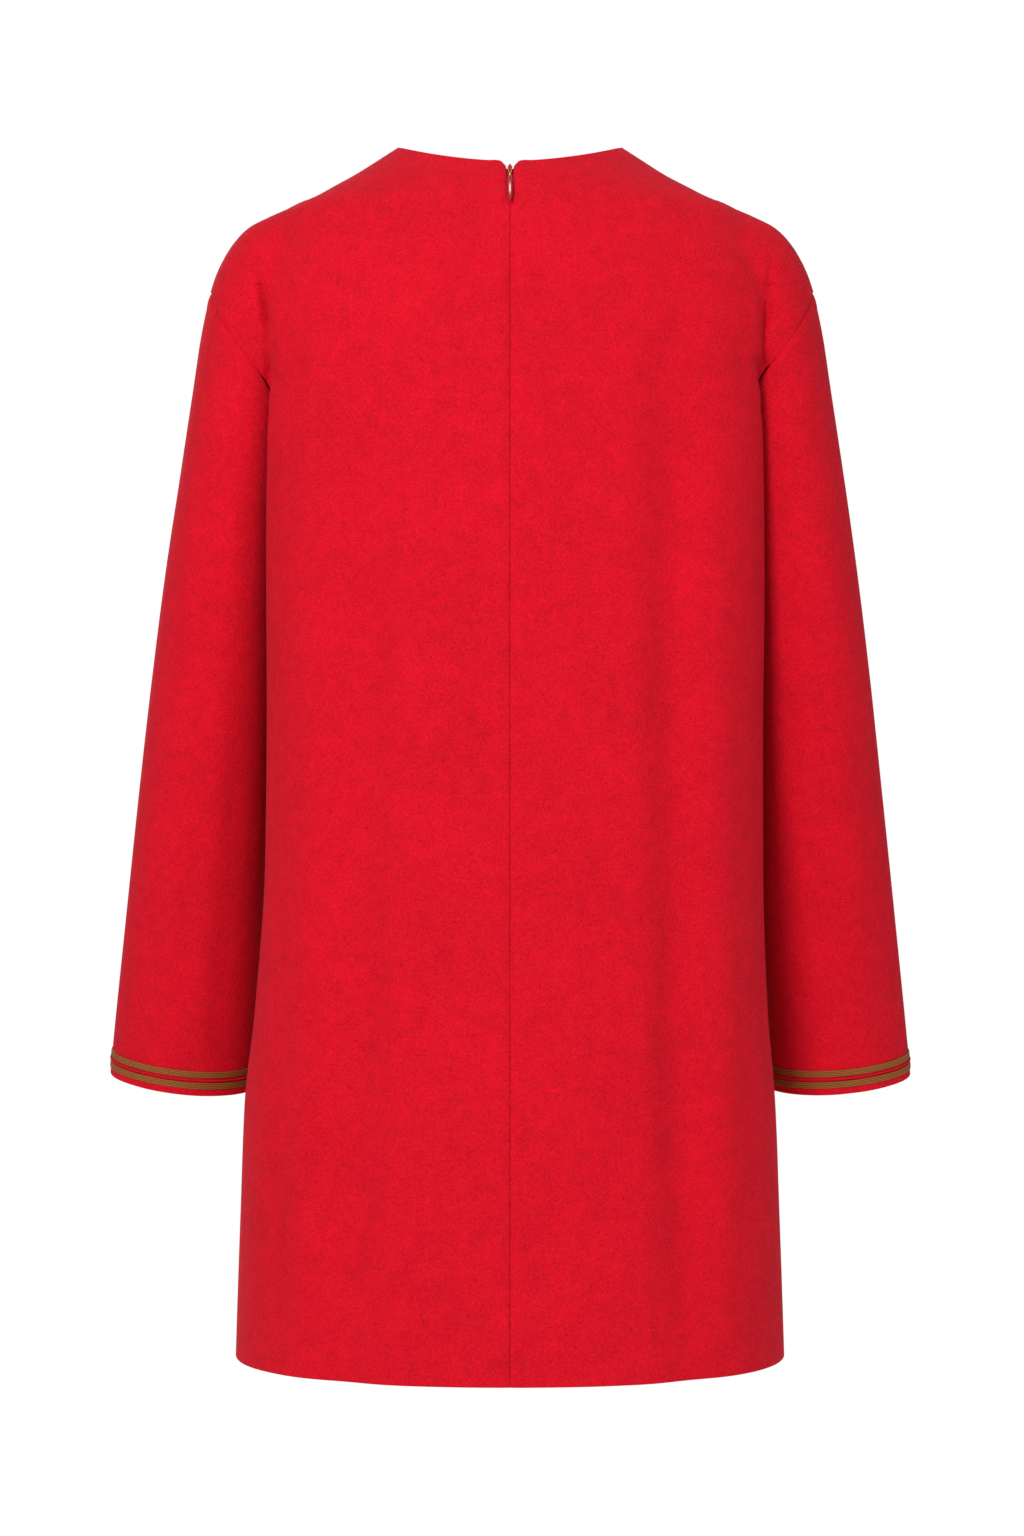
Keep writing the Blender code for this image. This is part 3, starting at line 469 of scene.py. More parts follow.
def half_panel(side, facing, rows, columns):
    """Grid of points on the form from the centre line out to one edge, a row for each height.

    rows counts the skirt's, the armhole's and the shoulder's rows. Each row is a fan of level rays
    from a point behind the middle, and its points are even along it but for narrow strips at its ends.
    """
    skirt_rows, armhole_rows, shoulder_rows = rows
    armhole = armhole_points(side, facing, armhole_rows)
    low_heights = np.linspace(HEM_HEIGHT, ARMHOLE_BOTTOM, skirt_rows + 1)[:-1]
    skirt = level_edge(side, np.full(skirt_rows, armhole[0, 1]), low_heights)
    steps = np.linspace(0.0, 1.0, shoulder_rows + 1)[1:]
    shoulder = level_edge(side, armhole[-1, 1] * (1 - steps), ARMHOLE_TOP * (1 - steps))
    edge = np.concatenate([skirt, armhole, shoulder])
    neck_height = NECK_BACK_HEIGHT if facing < 0 else NECK_FRONT_HEIGHT
    tip = ARMHOLE_BOTTOM + (neck_height - ARMHOLE_BOTTOM) * TIP_SHARE
    centre = np.concatenate([low_heights, np.linspace(ARMHOLE_BOTTOM, tip, armhole_rows + 1),
                             tip + (neck_height - tip) * steps])[:, None]
    share = np.linspace(0.0, 1.0, RAYS)[None, :]
    level = np.sin(share * math.pi / 2) ** LEVEL_POWER
    scoop = neck_rise(side, facing, neck_height, share)
    near_neck = np.clip(1 - edge[:, 2:3] / ARMHOLE_TOP, 0.0, 1.0)
    height = centre + (edge[:, 2:3] - centre) * (level + (scoop - level) * near_neck)
    origin_y = -facing * fan_depth(height)
    end = np.arctan2(edge[:, 1] - origin_y[:, -1], np.abs(edge[:, 0]))[:, None]
    start = facing * math.pi / 2
    angle = start + (end - start) * share
    way_x = side * np.cos(angle)
    way_y = np.sin(angle)
    reach = first_exit(body_distance, 0.0, origin_y, way_x, way_y, height)
    line = np.stack([way_x * reach, origin_y + way_y * reach, height], axis=-1)
    step = np.linalg.norm(np.diff(line, axis=1), axis=-1)
    to_end = np.cumsum(step[:, ::-1], axis=1)[:, ::-1]
    to_end = np.concatenate([to_end, np.zeros((len(line), 1))], axis=1)
    closing = ease(1 - to_end / CLOSING_LENGTH)[..., None]
    line += (edge - line[:, -1])[:, None] * closing
    line[:, 0, 0] = 0.0
    return softened(np.stack([row_points(row, columns) for row in line]))


def softened(points):
    """The grid with the fold's start above the underarm eased out, by averaging points there.

    Each pass moves a point towards the mean of its four neighbours, by a share that is whole in the
    fold and fades out towards the seam, the middle of the panel, and up and down the rows.
    """
    to_end = arc_lengths(points[:, ::-1], 1)[:, ::-1]
    height = points[..., 2]
    share = ease((SOFT_TOP + SOFT_SPAN - height) / SOFT_SPAN)
    share = share * ease((height - SOFT_LOW + SOFT_SPAN) / SOFT_SPAN)
    share = share * ease(to_end / SOFT_NEAR) * ease((SOFT_FAR - to_end) / SOFT_FADE)
    share = share[1:-1, 1:-1, None] * SOFT_STEP
    soft = points.copy()
    for _ in range(SOFT_PASSES):
        upright = (soft[2:, 1:-1] + soft[:-2, 1:-1]) / 2
        level = (soft[1:-1, 2:] + soft[1:-1, :-2]) / 2
        mean = level + (upright - level) * SOFT_UPRIGHT
        soft[1:-1, 1:-1] += (mean - soft[1:-1, 1:-1]) * share
    return soft


def row_points(row, columns):
    """Points along one row: denser past its fold, with narrow steps at both ends for turned edges."""
    length = arc_lengths(row, 0)
    near = np.array(EDGE_STEPS)
    even = np.linspace(0.0, 1.0, columns)[1:-1]
    share = np.interp(even, (0.0, DENSE_FROM, 1.0), (0.0, DENSE_PLACE, 1.0))
    middle = near[-1] + share * (length[-1] - 2 * near[-1])
    return points_along(row, length, np.concatenate([near, middle, length[-1] - near[::-1]]))


def grid_normals(points, turn, ring=False):
    """Outward unit normals of a grid of points: the cross product of its two directions."""
    if ring:
        along = np.roll(points, -1, axis=1) - np.roll(points, 1, axis=1)
    else:
        along = np.gradient(points, axis=1)
    normal = turn * np.cross(along, np.gradient(points, axis=0))
    return normal / np.maximum(np.linalg.norm(normal, axis=-1, keepdims=True), 1e-12)


def with_edge_rows(points):
    """The grid with a few close rows added at its hem and its neck, for their turned edges."""
    steps = np.array(EDGE_STEPS[1:])[:, None, None]
    added = []
    for edge, neighbour in ((0, 1), (-1, -2)):
        way = points[neighbour] - points[edge]
        way = way / np.linalg.norm(way, axis=-1, keepdims=True)
        added.append(points[edge] + way * steps)
    return np.concatenate([points[:1], added[0], points[1:-1], added[1][::-1], points[-1:]])


RIM_RADIUS = 0.0008
SEAM_SINK = 0.0006
SEAM_SINK_WIDTH = 0.0018
SEAM_SWELL = 0.0004
SEAM_SWELL_PLACE = 0.0070
SEAM_SWELL_WIDTH = 0.0035


def rim_drop(distance):
    """How far a face falls back as it turns over a rounded edge: r - sqrt(r^2 - (r - d)^2)."""
    near = np.clip(1 - distance / RIM_RADIUS, 0.0, 1.0)
    return -RIM_RADIUS * (1 - np.sqrt(1 - near ** 2))


def seam_relief(distance):
    """Cloth beside a pressed-open seam: it sinks to the stitches, and swells over the allowance."""
    sink = -SEAM_SINK * np.exp(-(distance / SEAM_SINK_WIDTH) ** 2)
    swell = SEAM_SWELL * np.exp(-((distance - SEAM_SWELL_PLACE) / SEAM_SWELL_WIDTH) ** 2)
    return sink + swell


CREASE_ENDS = 0.25
# Every crease: x and z of its start, x and z of its end, how far it bows, its depth and its width.
BACK_CREASES = (
    (-0.001, -0.034, -0.022, -0.040, 0.003, 0.0017, 0.0036),
    (-0.001, -0.052, -0.026, -0.056, 0.003, 0.0015, 0.0036),
    (-0.001, -0.070, -0.024, -0.068, -0.003, 0.0017, 0.0040),
    (-0.001, -0.094, -0.030, -0.091, 0.003, 0.0015, 0.0040),
    (-0.001, -0.123, -0.026, -0.126, 0.002, 0.0012, 0.0045),
    (0.001, -0.045, 0.024, -0.041, 0.003, 0.0015, 0.0036),
    (0.001, -0.105, 0.028, -0.109, 0.003, 0.0015, 0.0040),
    (0.001, -0.119, 0.022, -0.118, 0.002, 0.0012, 0.0036),
    (0.001, -0.170, 0.026, -0.174, 0.002, 0.0012, 0.0045),
    (-0.001, -0.195, -0.022, -0.190, 0.002, 0.0012, 0.0045),
    (0.001, -0.235, 0.020, -0.238, 0.002, 0.0010, 0.0045),
    (-0.001, -0.272, -0.022, -0.268, 0.002, 0.0010, 0.0045),
    (0.001, -0.318, 0.018, -0.321, 0.002, 0.0010, 0.0045),
    (0.001, -0.364, 0.020, -0.360, 0.002, 0.0008, 0.0045),
    (-0.001, -0.410, -0.020, -0.413, 0.002, 0.0008, 0.0045),
    (0.001, -0.514, 0.018, -0.517, 0.002, 0.0008, 0.0045),
    (-0.001, -0.573, -0.018, -0.576, 0.002, 0.0008, 0.0045),
    (0.001, -0.692, 0.016, -0.690, 0.002, 0.0008, 0.0045),
)
BACK_DRAPES = (
    (-0.094, -0.200, -0.110, -0.840, 0.003, 0.0086, 0.0210),
    (0.110, -0.160, 0.122, -0.840, -0.004, 0.0090, 0.0210),
    (-0.152, -0.440, -0.160, -0.820, 0.002, 0.0018, 0.0110),
    (0.156, -0.320, 0.162, -0.760, 0.003, 0.0018, 0.0110),
    (0.060, -0.300, 0.074, -0.820, 0.005, 0.0016, 0.0170),
    (-0.044, -0.460, -0.050, -0.830, -0.003, 0.0012, 0.0160),
    (-0.080, -0.250, -0.092, -0.780, 0.003, -0.0014, 0.0180),
    (0.096, -0.220, 0.100, -0.800, -0.003, -0.0016, 0.0160),
    (-0.150, -0.120, -0.080, -0.200, 0.006, 0.0012, 0.0110),
    (0.152, -0.110, 0.090, -0.180, -0.005, 0.0012, 0.0110),
)


def crease_relief(x, z, creases):
    """Sum of soft troughs: each lies along a bent line in x and z, and fades at both its ends."""
    relief = np.zeros_like(x)
    for x_start, z_start, x_end, z_end, bend, depth, width in creases:
        run = np.array([x_end - x_start, z_end - z_start])
        length = np.hypot(*run)
        run = run / length
        along = ((x - x_start) * run[0] + (z - z_start) * run[1]) / length
        across = (z - z_start) * run[0] - (x - x_start) * run[1]
        across = across - bend * 4 * along * (1 - along)
        fade = ease((along + CREASE_ENDS) / (2 * CREASE_ENDS))
        fade = fade * ease((1 + CREASE_ENDS - along) / (2 * CREASE_ENDS))
        relief -= depth * fade * np.exp(-(across / width) ** 2)
    return relief


FOLD_LINE_COLUMNS = ("height", "left", "right")
FOLD_LINE = (
    (-0.066, -0.1810, 0.1835),
    (-0.086, -0.1745, 0.1790),
    (-0.113, -0.1688, 0.1762),
    (-0.140, -0.1665, 0.1750),
    (-0.172, -0.1655, 0.1747),
)
FOLD_LINE_TOP = -0.072
FOLD_LINE_GROWTH = 0.050
FOLD_LINE_END = -0.170
FOLD_LINE_FADE = 0.008
FOLD_LINE_DEPTH = 0.0042
FOLD_LINE_WIDTH = 0.0019
FOLD_ROLL = 0.0015
FOLD_ROLL_PLACE = 0.0075
FOLD_ROLL_WIDTH = 0.0060


def fold_line_relief(x, z, side):
    """The fold from the shoulder down to the armhole, where the body rolls a little over the arm.

    A sharp trough lies along the line and a soft roll beside it on the body's side. Both grow from
    nothing at the shoulder.
    """
    place = side * read_table(FOLD_LINE, FOLD_LINE_COLUMNS, "left" if side < 0 else "right", z)
    inward = place - side * x
    growth = ease((FOLD_LINE_TOP - z) / FOLD_LINE_GROWTH) * ease((z - FOLD_LINE_END) / FOLD_LINE_FADE)
    trough = FOLD_LINE_DEPTH * np.exp(-(inward / FOLD_LINE_WIDTH) ** 2)
    roll = FOLD_ROLL * np.exp(-((inward - FOLD_ROLL_PLACE) / FOLD_ROLL_WIDTH) ** 2)
    return growth * (roll - trough)


def wall_corners(outer, inner, ring):
    """What each face corner of a wall takes from two grids: indices, or a map's values.

    A ring's grids have their first column again at the end. A panel also gets its two side rims.
    """
    sheets = [[outer[:-1, :-1], outer[:-1, 1:], outer[1:, 1:], outer[1:, :-1]],
              [inner[:-1, :-1], inner[1:, :-1], inner[1:, 1:], inner[:-1, 1:]],
              [outer[0, :-1], inner[0, :-1], inner[0, 1:], outer[0, 1:]],
              [outer[-1, :-1], outer[-1, 1:], inner[-1, 1:], inner[-1, :-1]]]
    if not ring:
        sheets.append([outer[:-1, 0], outer[1:, 0], inner[1:, 0], inner[:-1, 0]])
        sheets.append([outer[:-1, -1], inner[:-1, -1], inner[1:, -1], outer[1:, -1]])
    return np.concatenate([np.stack(corners, axis=-1).reshape(-1, 4) for corners in sheets])


def grid_faces(index):
    """The four-cornered faces between neighbouring rows and columns of a grid of point numbers."""
    return np.stack([index[:-1, :-1], index[:-1, 1:], index[1:, 1:], index[1:, :-1]], axis=-1).reshape(-1, 4)


def face_in(points, corners):
    """Whether the faces of a closed form face inwards, which makes its volume negative."""
    a, b, c, d = (points[corners[:, k]] for k in range(4))
    return (np.cross(b - a, c - a) * a).sum() + (np.cross(c - a, d - a) * a).sum() < 0


def add_piece(name, points, corners, material, uv=None):
    """A named piece at the origin from four-cornered faces, which are turned round if they face in."""
    if face_in(points, corners):
        corners = corners[:, ::-1]
        uv = None if uv is None else uv[:, ::-1]
    mesh = bpy.data.meshes.new(name)
    mesh.from_pydata(points.tolist(), [], corners.tolist())
    if uv is not None:
        layer = mesh.uv_layers.new(name="along_and_across")
        layer.data.foreach_set("uv", uv.reshape(-1))
    mesh.shade_smooth()
    mesh.materials.append(material)
    piece = bpy.data.objects.new(name, mesh)
    bpy.context.scene.collection.objects.link(piece)
    return piece


def wall_piece(name, outer, inner, material, ring=False, mapped=False):
    """A closed wall between an outer and an inner grid of points."""
    rows, columns = outer.shape[:2]
    index = np.arange(rows * columns).reshape(rows, columns)
    along = np.broadcast_to(np.arange(columns) / columns, (rows, columns))
    if ring:
        index = np.concatenate([index, index[:, :1]], axis=1)
        along = np.concatenate([along, np.ones((rows, 1))], axis=1)
    corners = wall_corners(index, index + rows * columns, ring)
    uv = None
    if mapped:
        across = np.broadcast_to(np.linspace(0.0, 1.0, rows)[:, None], along.shape)
        uv = np.stack([wall_corners(along, along, ring), wall_corners(across, across, ring)], axis=-1)
    points = np.concatenate([outer.reshape(-1, 3), inner.reshape(-1, 3)])
    return add_piece(name, points, corners, material, uv)


def cloth_piece(name, node, base, normal, relief, to_edge, ring=False):
    """Cloth on its base form: moved by its relief, and drawn together at its rounded edges.

    A seam edge gives twice its true distance, so that it is rounded half as much as a free edge.
    """
    drop = rim_drop(to_edge)
    outer = base + normal * (relief + drop)[..., None]
    inner = base + normal * (relief - CLOTH - drop)[..., None]
    piece = wall_piece(name, outer, inner, wool, ring)
    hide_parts(node)
    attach(piece, "dress")


PARTED_COLUMNS = ("height", "half_gap")
PARTED = (
    (-0.0180, 0.0058),
    (-0.0192, 0.0056),
    (-0.0235, 0.0026),
    (-0.0300, 0.0022),
    (-0.0400, 0.0019),
    (-0.0455, 0.0012),
    (-0.0510, 0.0001),
    (-0.0560, 0.0000),
    (-0.8700, 0.0000),
)
PARTED_REACH = 0.012
BACK_ROWS = (214, 60, 44)
BACK_COLUMNS = 126
SIDES = ((-1, "left"), (1, "right"))


for side, word in SIDES:
    base = with_edge_rows(half_panel(side, -1, BACK_ROWS, BACK_COLUMNS))
    across = arc_lengths(base, 1)
    up = arc_lengths(base, 0)
    half_gap = read_table(PARTED, PARTED_COLUMNS, "half_gap", base[:, :1, 2])
    base[..., 0] += side * half_gap * np.exp(-across / PARTED_REACH)
    to_side = across[:, -1:] - across
    to_rim = np.minimum(up, up[-1:] - up)
    relief = seam_relief(across) + seam_relief(to_side)
    relief += crease_relief(base[..., 0], base[..., 2], BACK_CREASES + BACK_DRAPES)
    relief += fold_line_relief(base[..., 0], base[..., 2], side)
    to_edge = np.minimum(np.minimum(across, 2 * to_side), to_rim)
    cloth_piece(f"back_panel_{word}", f"back_{word}", base, grid_normals(base, side), relief, to_edge)

# Front panel
# One panel, cut whole and finished plainly, with a round neckline. It meets the back panels at the
# shoulder and side seams and the sleeves at the armholes.

FRONT_ROWS = (150, 46, 34)
FRONT_COLUMNS = 74
FRONT_CREASES = (
    (-0.135, -0.215, -0.060, -0.160, 0.006, 0.0012, 0.010),
    (0.130, -0.222, 0.062, -0.150, -0.005, 0.0012, 0.010),
    (-0.150, -0.250, -0.085, -0.262, 0.006, 0.0008, 0.009),
    (0.150, -0.262, 0.092, -0.280, 0.005, 0.0008, 0.009),
    (-0.098, -0.190, -0.118, -0.800, 0.005, 0.0032, 0.018),
    (0.106, -0.230, 0.124, -0.820, -0.004, 0.0028, 0.017),
    (0.012, -0.360, 0.020, -0.830, 0.004, 0.0016, 0.019),
    (-0.050, -0.300, -0.060, -0.760, -0.003, 0.0012, 0.016),
    (-0.154, -0.420, -0.160, -0.800, 0.002, 0.0016, 0.011),
    (0.150, -0.360, 0.158, -0.780, -0.003, 0.0018, 0.012),
)
left_half = half_panel(-1, 1, FRONT_ROWS, FRONT_COLUMNS)
right_half = half_panel(1, 1, FRONT_ROWS, FRONT_COLUMNS)
centre_columns = len(EDGE_STEPS) - 1
halves = [left_half[:, :centre_columns:-1], left_half[:, :1], right_half[:, centre_columns + 1:]]
base = with_edge_rows(np.concatenate(halves, axis=1))
across = arc_lengths(base, 1)
up = arc_lengths(base, 0)
to_side = np.minimum(across, across[:, -1:] - across)
relief = seam_relief(to_side) + crease_relief(base[..., 0], base[..., 2], FRONT_CREASES)
for side, word in SIDES:
    folded = fold_line_relief(base[..., 0], base[..., 2], side)
    relief += np.where(side * base[..., 0] > 0, folded, 0.0)
to_edge = np.minimum(2 * to_side, np.minimum(up, up[-1:] - up))
cloth_piece("front_panel", "front", base, grid_normals(base, -1), relief, to_edge)

# Sleeves
# One-piece sleeves, each a tube sewn into the armhole, wider towards the wrist, with its seam inside
# the arm. The cuff end is turned up once and pressed.

CUFF_HEIGHT = -0.657
CUFF_RISE_OUT = {-1: 0.1100, 1: 0.0850}
CUFF_RISE_FORWARD = 0.1425
SLEEVE_HEAD_FADE = 0.07
SLEEVE_HALF_COLUMNS = 60
SLEEVE_ROWS = 190
SLEEVE_DRAPES = {
    -1: ((-0.205, -0.260, -0.232, -0.610, 0.003, 0.0018, 0.009),
         (-0.186, -0.400, -0.206, -0.640, -0.002, 0.0012, 0.008),
         (-0.240, -0.470, -0.266, -0.650, 0.002, 0.0010, 0.008)),
    1: ((0.208, -0.300, 0.236, -0.630, -0.003, 0.0020, 0.009),
        (0.188, -0.240, 0.200, -0.480, 0.002, 0.0012, 0.008),
        (0.250, -0.420, 0.268, -0.640, -0.002, 0.0010, 0.008)),
}


def sleeve_ring(side, columns):
    """Angles and seam points round the armhole, from the outside by the back and on round."""
    back = armhole_points(side, -1, columns)[::-1]
    front = armhole_points(side, 1, columns)[1:-1]
    seam = np.concatenate([back, front])
    plan = plan_at(seam[:, 2])
    across = (seam[:, 0] - plan["arm_sway"]) * side - plan["arm_x"]
    along = seam[:, 1] - plan["arm_y"]
    return np.arctan2(along, across), np.hypot(across, along), seam


def arm_reach(angle, plan):
    """Reach of the arm's oval from its middle at an angle."""
    return 1 / np.hypot(np.cos(angle) / plan["arm_width"], np.sin(angle) / plan["arm_depth"])


def sleeve_points(side, angle, seam_reach, seam_height, height):
    """Points on the sleeve at angles and heights: the arm's oval, eased out to meet the armhole."""
    plan = plan_at(height)
    fade = ease(1 - (seam_height - height) / SLEEVE_HEAD_FADE)
    reach = arm_reach(angle, plan) + (seam_reach - arm_reach(angle, plan_at(seam_height))) * fade
    x = side * (plan["arm_x"] + reach * np.cos(angle)) + plan["arm_sway"]
    y = plan["arm_y"] + reach * np.sin(angle)
    return np.stack([x, y, height + 0 * angle], axis=-1)


def cuff_edge(side, angle):
    """Height of the cuff's edge round the sleeve, square to the way that the sleeve hangs."""
    plan = plan_at(np.array([CUFF_HEIGHT]))
    rise_out = CUFF_RISE_OUT[side] * plan["arm_width"] * np.cos(angle)
    rise_forward = CUFF_RISE_FORWARD * plan["arm_depth"] * np.sin(angle)
    return CUFF_HEIGHT + rise_out + rise_forward


for side, word in SIDES:
    angle, reach, seam = sleeve_ring(side, SLEEVE_HALF_COLUMNS)
    edge = cuff_edge(side, angle)
    share = np.linspace(0.0, 1.0, SLEEVE_ROWS + 1)[:, None]
    height = edge + share * (seam[:, 2] - edge)
    base = sleeve_points(side, angle, reach, seam[:, 2], height)
    base[-1] = seam
    base = with_edge_rows(base)
    up = arc_lengths(base, 0)
    to_seam = up[-1:] - up
    relief = seam_relief(to_seam) + crease_relief(base[..., 0], base[..., 2], SLEEVE_DRAPES[side])
    normal = grid_normals(base, -side, ring=True)
    to_edge = np.minimum(up, 2 * to_seam)
    cloth_piece(f"sleeve_{word}_cloth", f"sleeve_{word}", base, normal, relief, to_edge, ring=True)

# Cuff braids
# Two flat woven braids of bronze-brown thread, ribbed lengthwise, sewn round each cuff a little above
# its edge, with a thin piped ridge of the wool between them.

BRAID_BRONZE = (0.360, 0.128, 0.020, 1.0)
# Near-black painted shade for the grooves between the ribs and stitches, where the braid's height is low.
BRAID_GROOVE_SHADE = (0.060, 0.010, 0.003, 1.0)
BRAID_BANDS = {"lower": (0.0050, 0.0098), "upper": (0.0130, 0.0178)}
BRAID_THICKNESS = 0.0007
BRAID_GAP = 0.0001
BRAID_RIBS = 4.0
BRAID_STITCHES = 330.0
STITCH_BEND = 1.8
THREAD_SCALE = 1400.0
BRAID_COLUMNS = 33
BRAID_RIB_SHARE = 0.30
BRAID_STEPS = 130
CORD_MIDDLE = 0.0114
CORD_RADIUS = 0.0007
CORD_SEAT = 0.6
CORD_STEPS = 10


def braid_material():
    """Woven braid: ribs along it, |sin(ribs x pi x across)|, crossed by slanting stitches.

    The stitches are a sine of the way along, pushed on by the rib's height so that each one bends.
    The colour runs from bronze on the ribs to a near-black painted shade in the grooves, by the same
    height as the bump.
    """
    material, tree, shader = new_material("bronze_braid")
    place = add_node(tree, "ShaderNodeUVMap", uv_map="along_and_across")
    axes = add_node(tree, "ShaderNodeSeparateXYZ")
    tree.links.new(place.outputs[0], axes.inputs[0])
    turn = add_math(tree, "MULTIPLY", axes.outputs["Y"], BRAID_RIBS * math.pi)
    rib = add_math(tree, "ABSOLUTE", add_math(tree, "SINE", turn))
    bend = add_math(tree, "MULTIPLY", rib, STITCH_BEND)
    along = add_math(tree, "MULTIPLY", axes.outputs["X"], BRAID_STITCHES * 2 * math.pi)
    stitch = add_math(tree, "SINE", add_math(tree, "ADD", along, bend))
    height = add_math(tree, "MULTIPLY_ADD", stitch, 0.25, rib)
    fuzz = add_noise(tree, Scale=THREAD_SCALE, Detail=2.0)
    height = add_math(tree, "MULTIPLY_ADD", fuzz, 0.7, height)
    # Painted shade: the colour darkens towards the groove colour where the height is low.
    shade = add_math(tree, "MULTIPLY_ADD", height, 0.85, -0.30)
    blend = add_node(tree, "ShaderNodeMix", data_type="RGBA")
    blend.inputs[6].default_value = BRAID_GROOVE_SHADE
    blend.inputs[7].default_value = BRAID_BRONZE
    tree.links.new(shade, blend.inputs[0])
    tree.links.new(blend.outputs[2], shader.inputs["Base Color"])
    add_bump(tree, shader, height, 0.6, 0.0003)
    shader.inputs["Roughness"].default_value = 0.6
    shader.inputs["Specular IOR Level"].default_value = 0.2
    return material


def tube_piece(name, tube, material):
    """A closed ring of tube from a grid of points: one axis goes round the tube, one along it."""
    index = np.arange(tube.shape[0] * tube.shape[1]).reshape(tube.shape[:2])
    index = np.concatenate([index, index[:1]], axis=0)
    index = np.concatenate([index, index[:, :1]], axis=1)
    return add_piece(name, tube.reshape(-1, 3), grid_faces(index), material)


braid = braid_material()
for side, word in SIDES:
    angle, reach, seam = sleeve_ring(side, BRAID_STEPS)
    edge = cuff_edge(side, angle)
    for band, (start, end) in BRAID_BANDS.items():
        across = np.linspace(0.0, 1.0, BRAID_COLUMNS)
        height = edge + (start + (end - start) * across)[:, None]
        points = sleeve_points(side, angle, reach, seam[:, 2], height)
        normal = grid_normals(points, -side, ring=True)
        ribs = BRAID_RIB_SHARE * np.abs(np.sin(math.pi * BRAID_RIBS * across))
        rounded = np.sqrt(1 - np.abs(2 * across - 1) ** 6)
        stand = BRAID_GAP + BRAID_THICKNESS * rounded * (1 - BRAID_RIB_SHARE + ribs)
        outer = points + normal * stand[:, None, None]
        inner = points + normal * BRAID_GAP
        trim = wall_piece(f"braid_{band}_{word}", outer, inner, braid, ring=True, mapped=True)
        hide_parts(f"cuff_braid_{band}_{word}")
        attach(trim, "dress")
    turn = np.linspace(0.0, 2 * math.pi, CORD_STEPS + 1)[:-1, None, None]
    height = edge + CORD_MIDDLE + CORD_RADIUS * np.array([-1.0, 0.0, 1.0])[:, None]
    centre = sleeve_points(side, angle, reach, seam[:, 2], height)
    normal = grid_normals(centre, -side, ring=True)[1]
    centre = centre[1] + normal * (BRAID_GAP + CORD_RADIUS * CORD_SEAT)
    tube = centre + CORD_RADIUS * (np.cos(turn) * normal + np.sin(turn) * np.array([0.0, 0.0, 1.0]))
    cord = tube_piece(f"cord_{word}", tube, wool)
    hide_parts(f"cuff_cord_{word}")
    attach(cord, "dress")

# Zip tapes and coil
# Two narrow woven tapes lie behind the panels' edges from the notch down past the waist. Along the
# meeting edge of each runs a fine coil, wound from one thread of nylon and sewn to the tape.

TAPE_RED = (0.340, 0.004, 0.010)
ZIP_TOP = -0.0235
ZIP_BOTTOM = -0.480
TAPE_WIDTH = 0.012
TAPE_THICKNESS = 0.0008
TAPE_GAP = 0.00045
TAPE_ROWS = 231
TAPE_ACROSS = (0.0, 0.0001, 0.0004, 0.0022, 0.0040, 0.0060, 0.0080, 0.0100, 0.0116, 0.0119, 0.0120)
TAPE_RIM = 0.0004
COIL_PITCH = 0.0013
COIL_TURN_STEPS = 8
COIL_THREAD_STEPS = 4
COIL_MIDDLE = 0.0010
COIL_HALF_WIDTH = 0.0009
COIL_HALF_DEPTH = 0.0004
COIL_THREAD = 0.0002
COIL_BEHIND = 0.0014
WARP_TURNS = 5200.0
WEFT_TURNS = 4100.0
TAPE_FUZZ_SCALE = 1700.0
SLIDER_LOW = -0.0260
SLIDER_SPAN = 0.003


def tape_material():
    """Woven tape: fine threads along and across it, |sin| of x and of z, one over the other."""
    material, tree, shader = new_material("zip_tape")
    place = add_node(tree, "ShaderNodeTexCoord")
    axes = add_node(tree, "ShaderNodeSeparateXYZ")
    tree.links.new(place.outputs["Object"], axes.inputs[0])
    waves = []
    for axis, turns in (("X", WARP_TURNS), ("Z", WEFT_TURNS)):
        wave = add_math(tree, "SINE", add_math(tree, "MULTIPLY", axes.outputs[axis], turns))
        waves.append(add_math(tree, "ABSOLUTE", wave))
    weave = add_math(tree, "MULTIPLY_ADD", *waves, add_noise(tree, Scale=TAPE_FUZZ_SCALE, Detail=2.0))
    # Painted shade between the threads: the colour is scaled by the weave's height, as the bump is, and the
    # fuzz gives a random tone.
    tint = add_node(tree, "ShaderNodeVectorMath", operation="SCALE")
    tint.inputs[0].default_value = TAPE_RED
    tree.links.new(add_math(tree, "MULTIPLY_ADD", weave, 0.30, 0.72), tint.inputs["Scale"])
    tree.links.new(tint.outputs[0], shader.inputs["Base Color"])
    add_bump(tree, shader, weave, 0.5, 0.0002)
    shader.inputs["Roughness"].default_value = 0.8
    return material


def zip_half_gap(height):
    """Half the gap between the tapes: closed below the slider, and parted with the panels above it."""
    parted = read_table(PARTED, PARTED_COLUMNS, "half_gap", height)
    return parted * ease((height - SLIDER_LOW) / SLIDER_SPAN)


def zip_surface(x, height):
    """Points of the panels' form straight behind the camera's side, and their normals in y and z."""
    reach = first_exit(body_distance, x, 0.0, 0.0, -1.0, height)
    surface = np.stack([x, -reach, height], axis=-1)
    slope = np.gradient(reach, axis=0) / np.gradient(height, axis=0)
    normal = np.stack([0 * slope, -np.ones_like(slope), -slope], axis=-1)
    return surface, normal / np.linalg.norm(normal, axis=-1, keepdims=True)


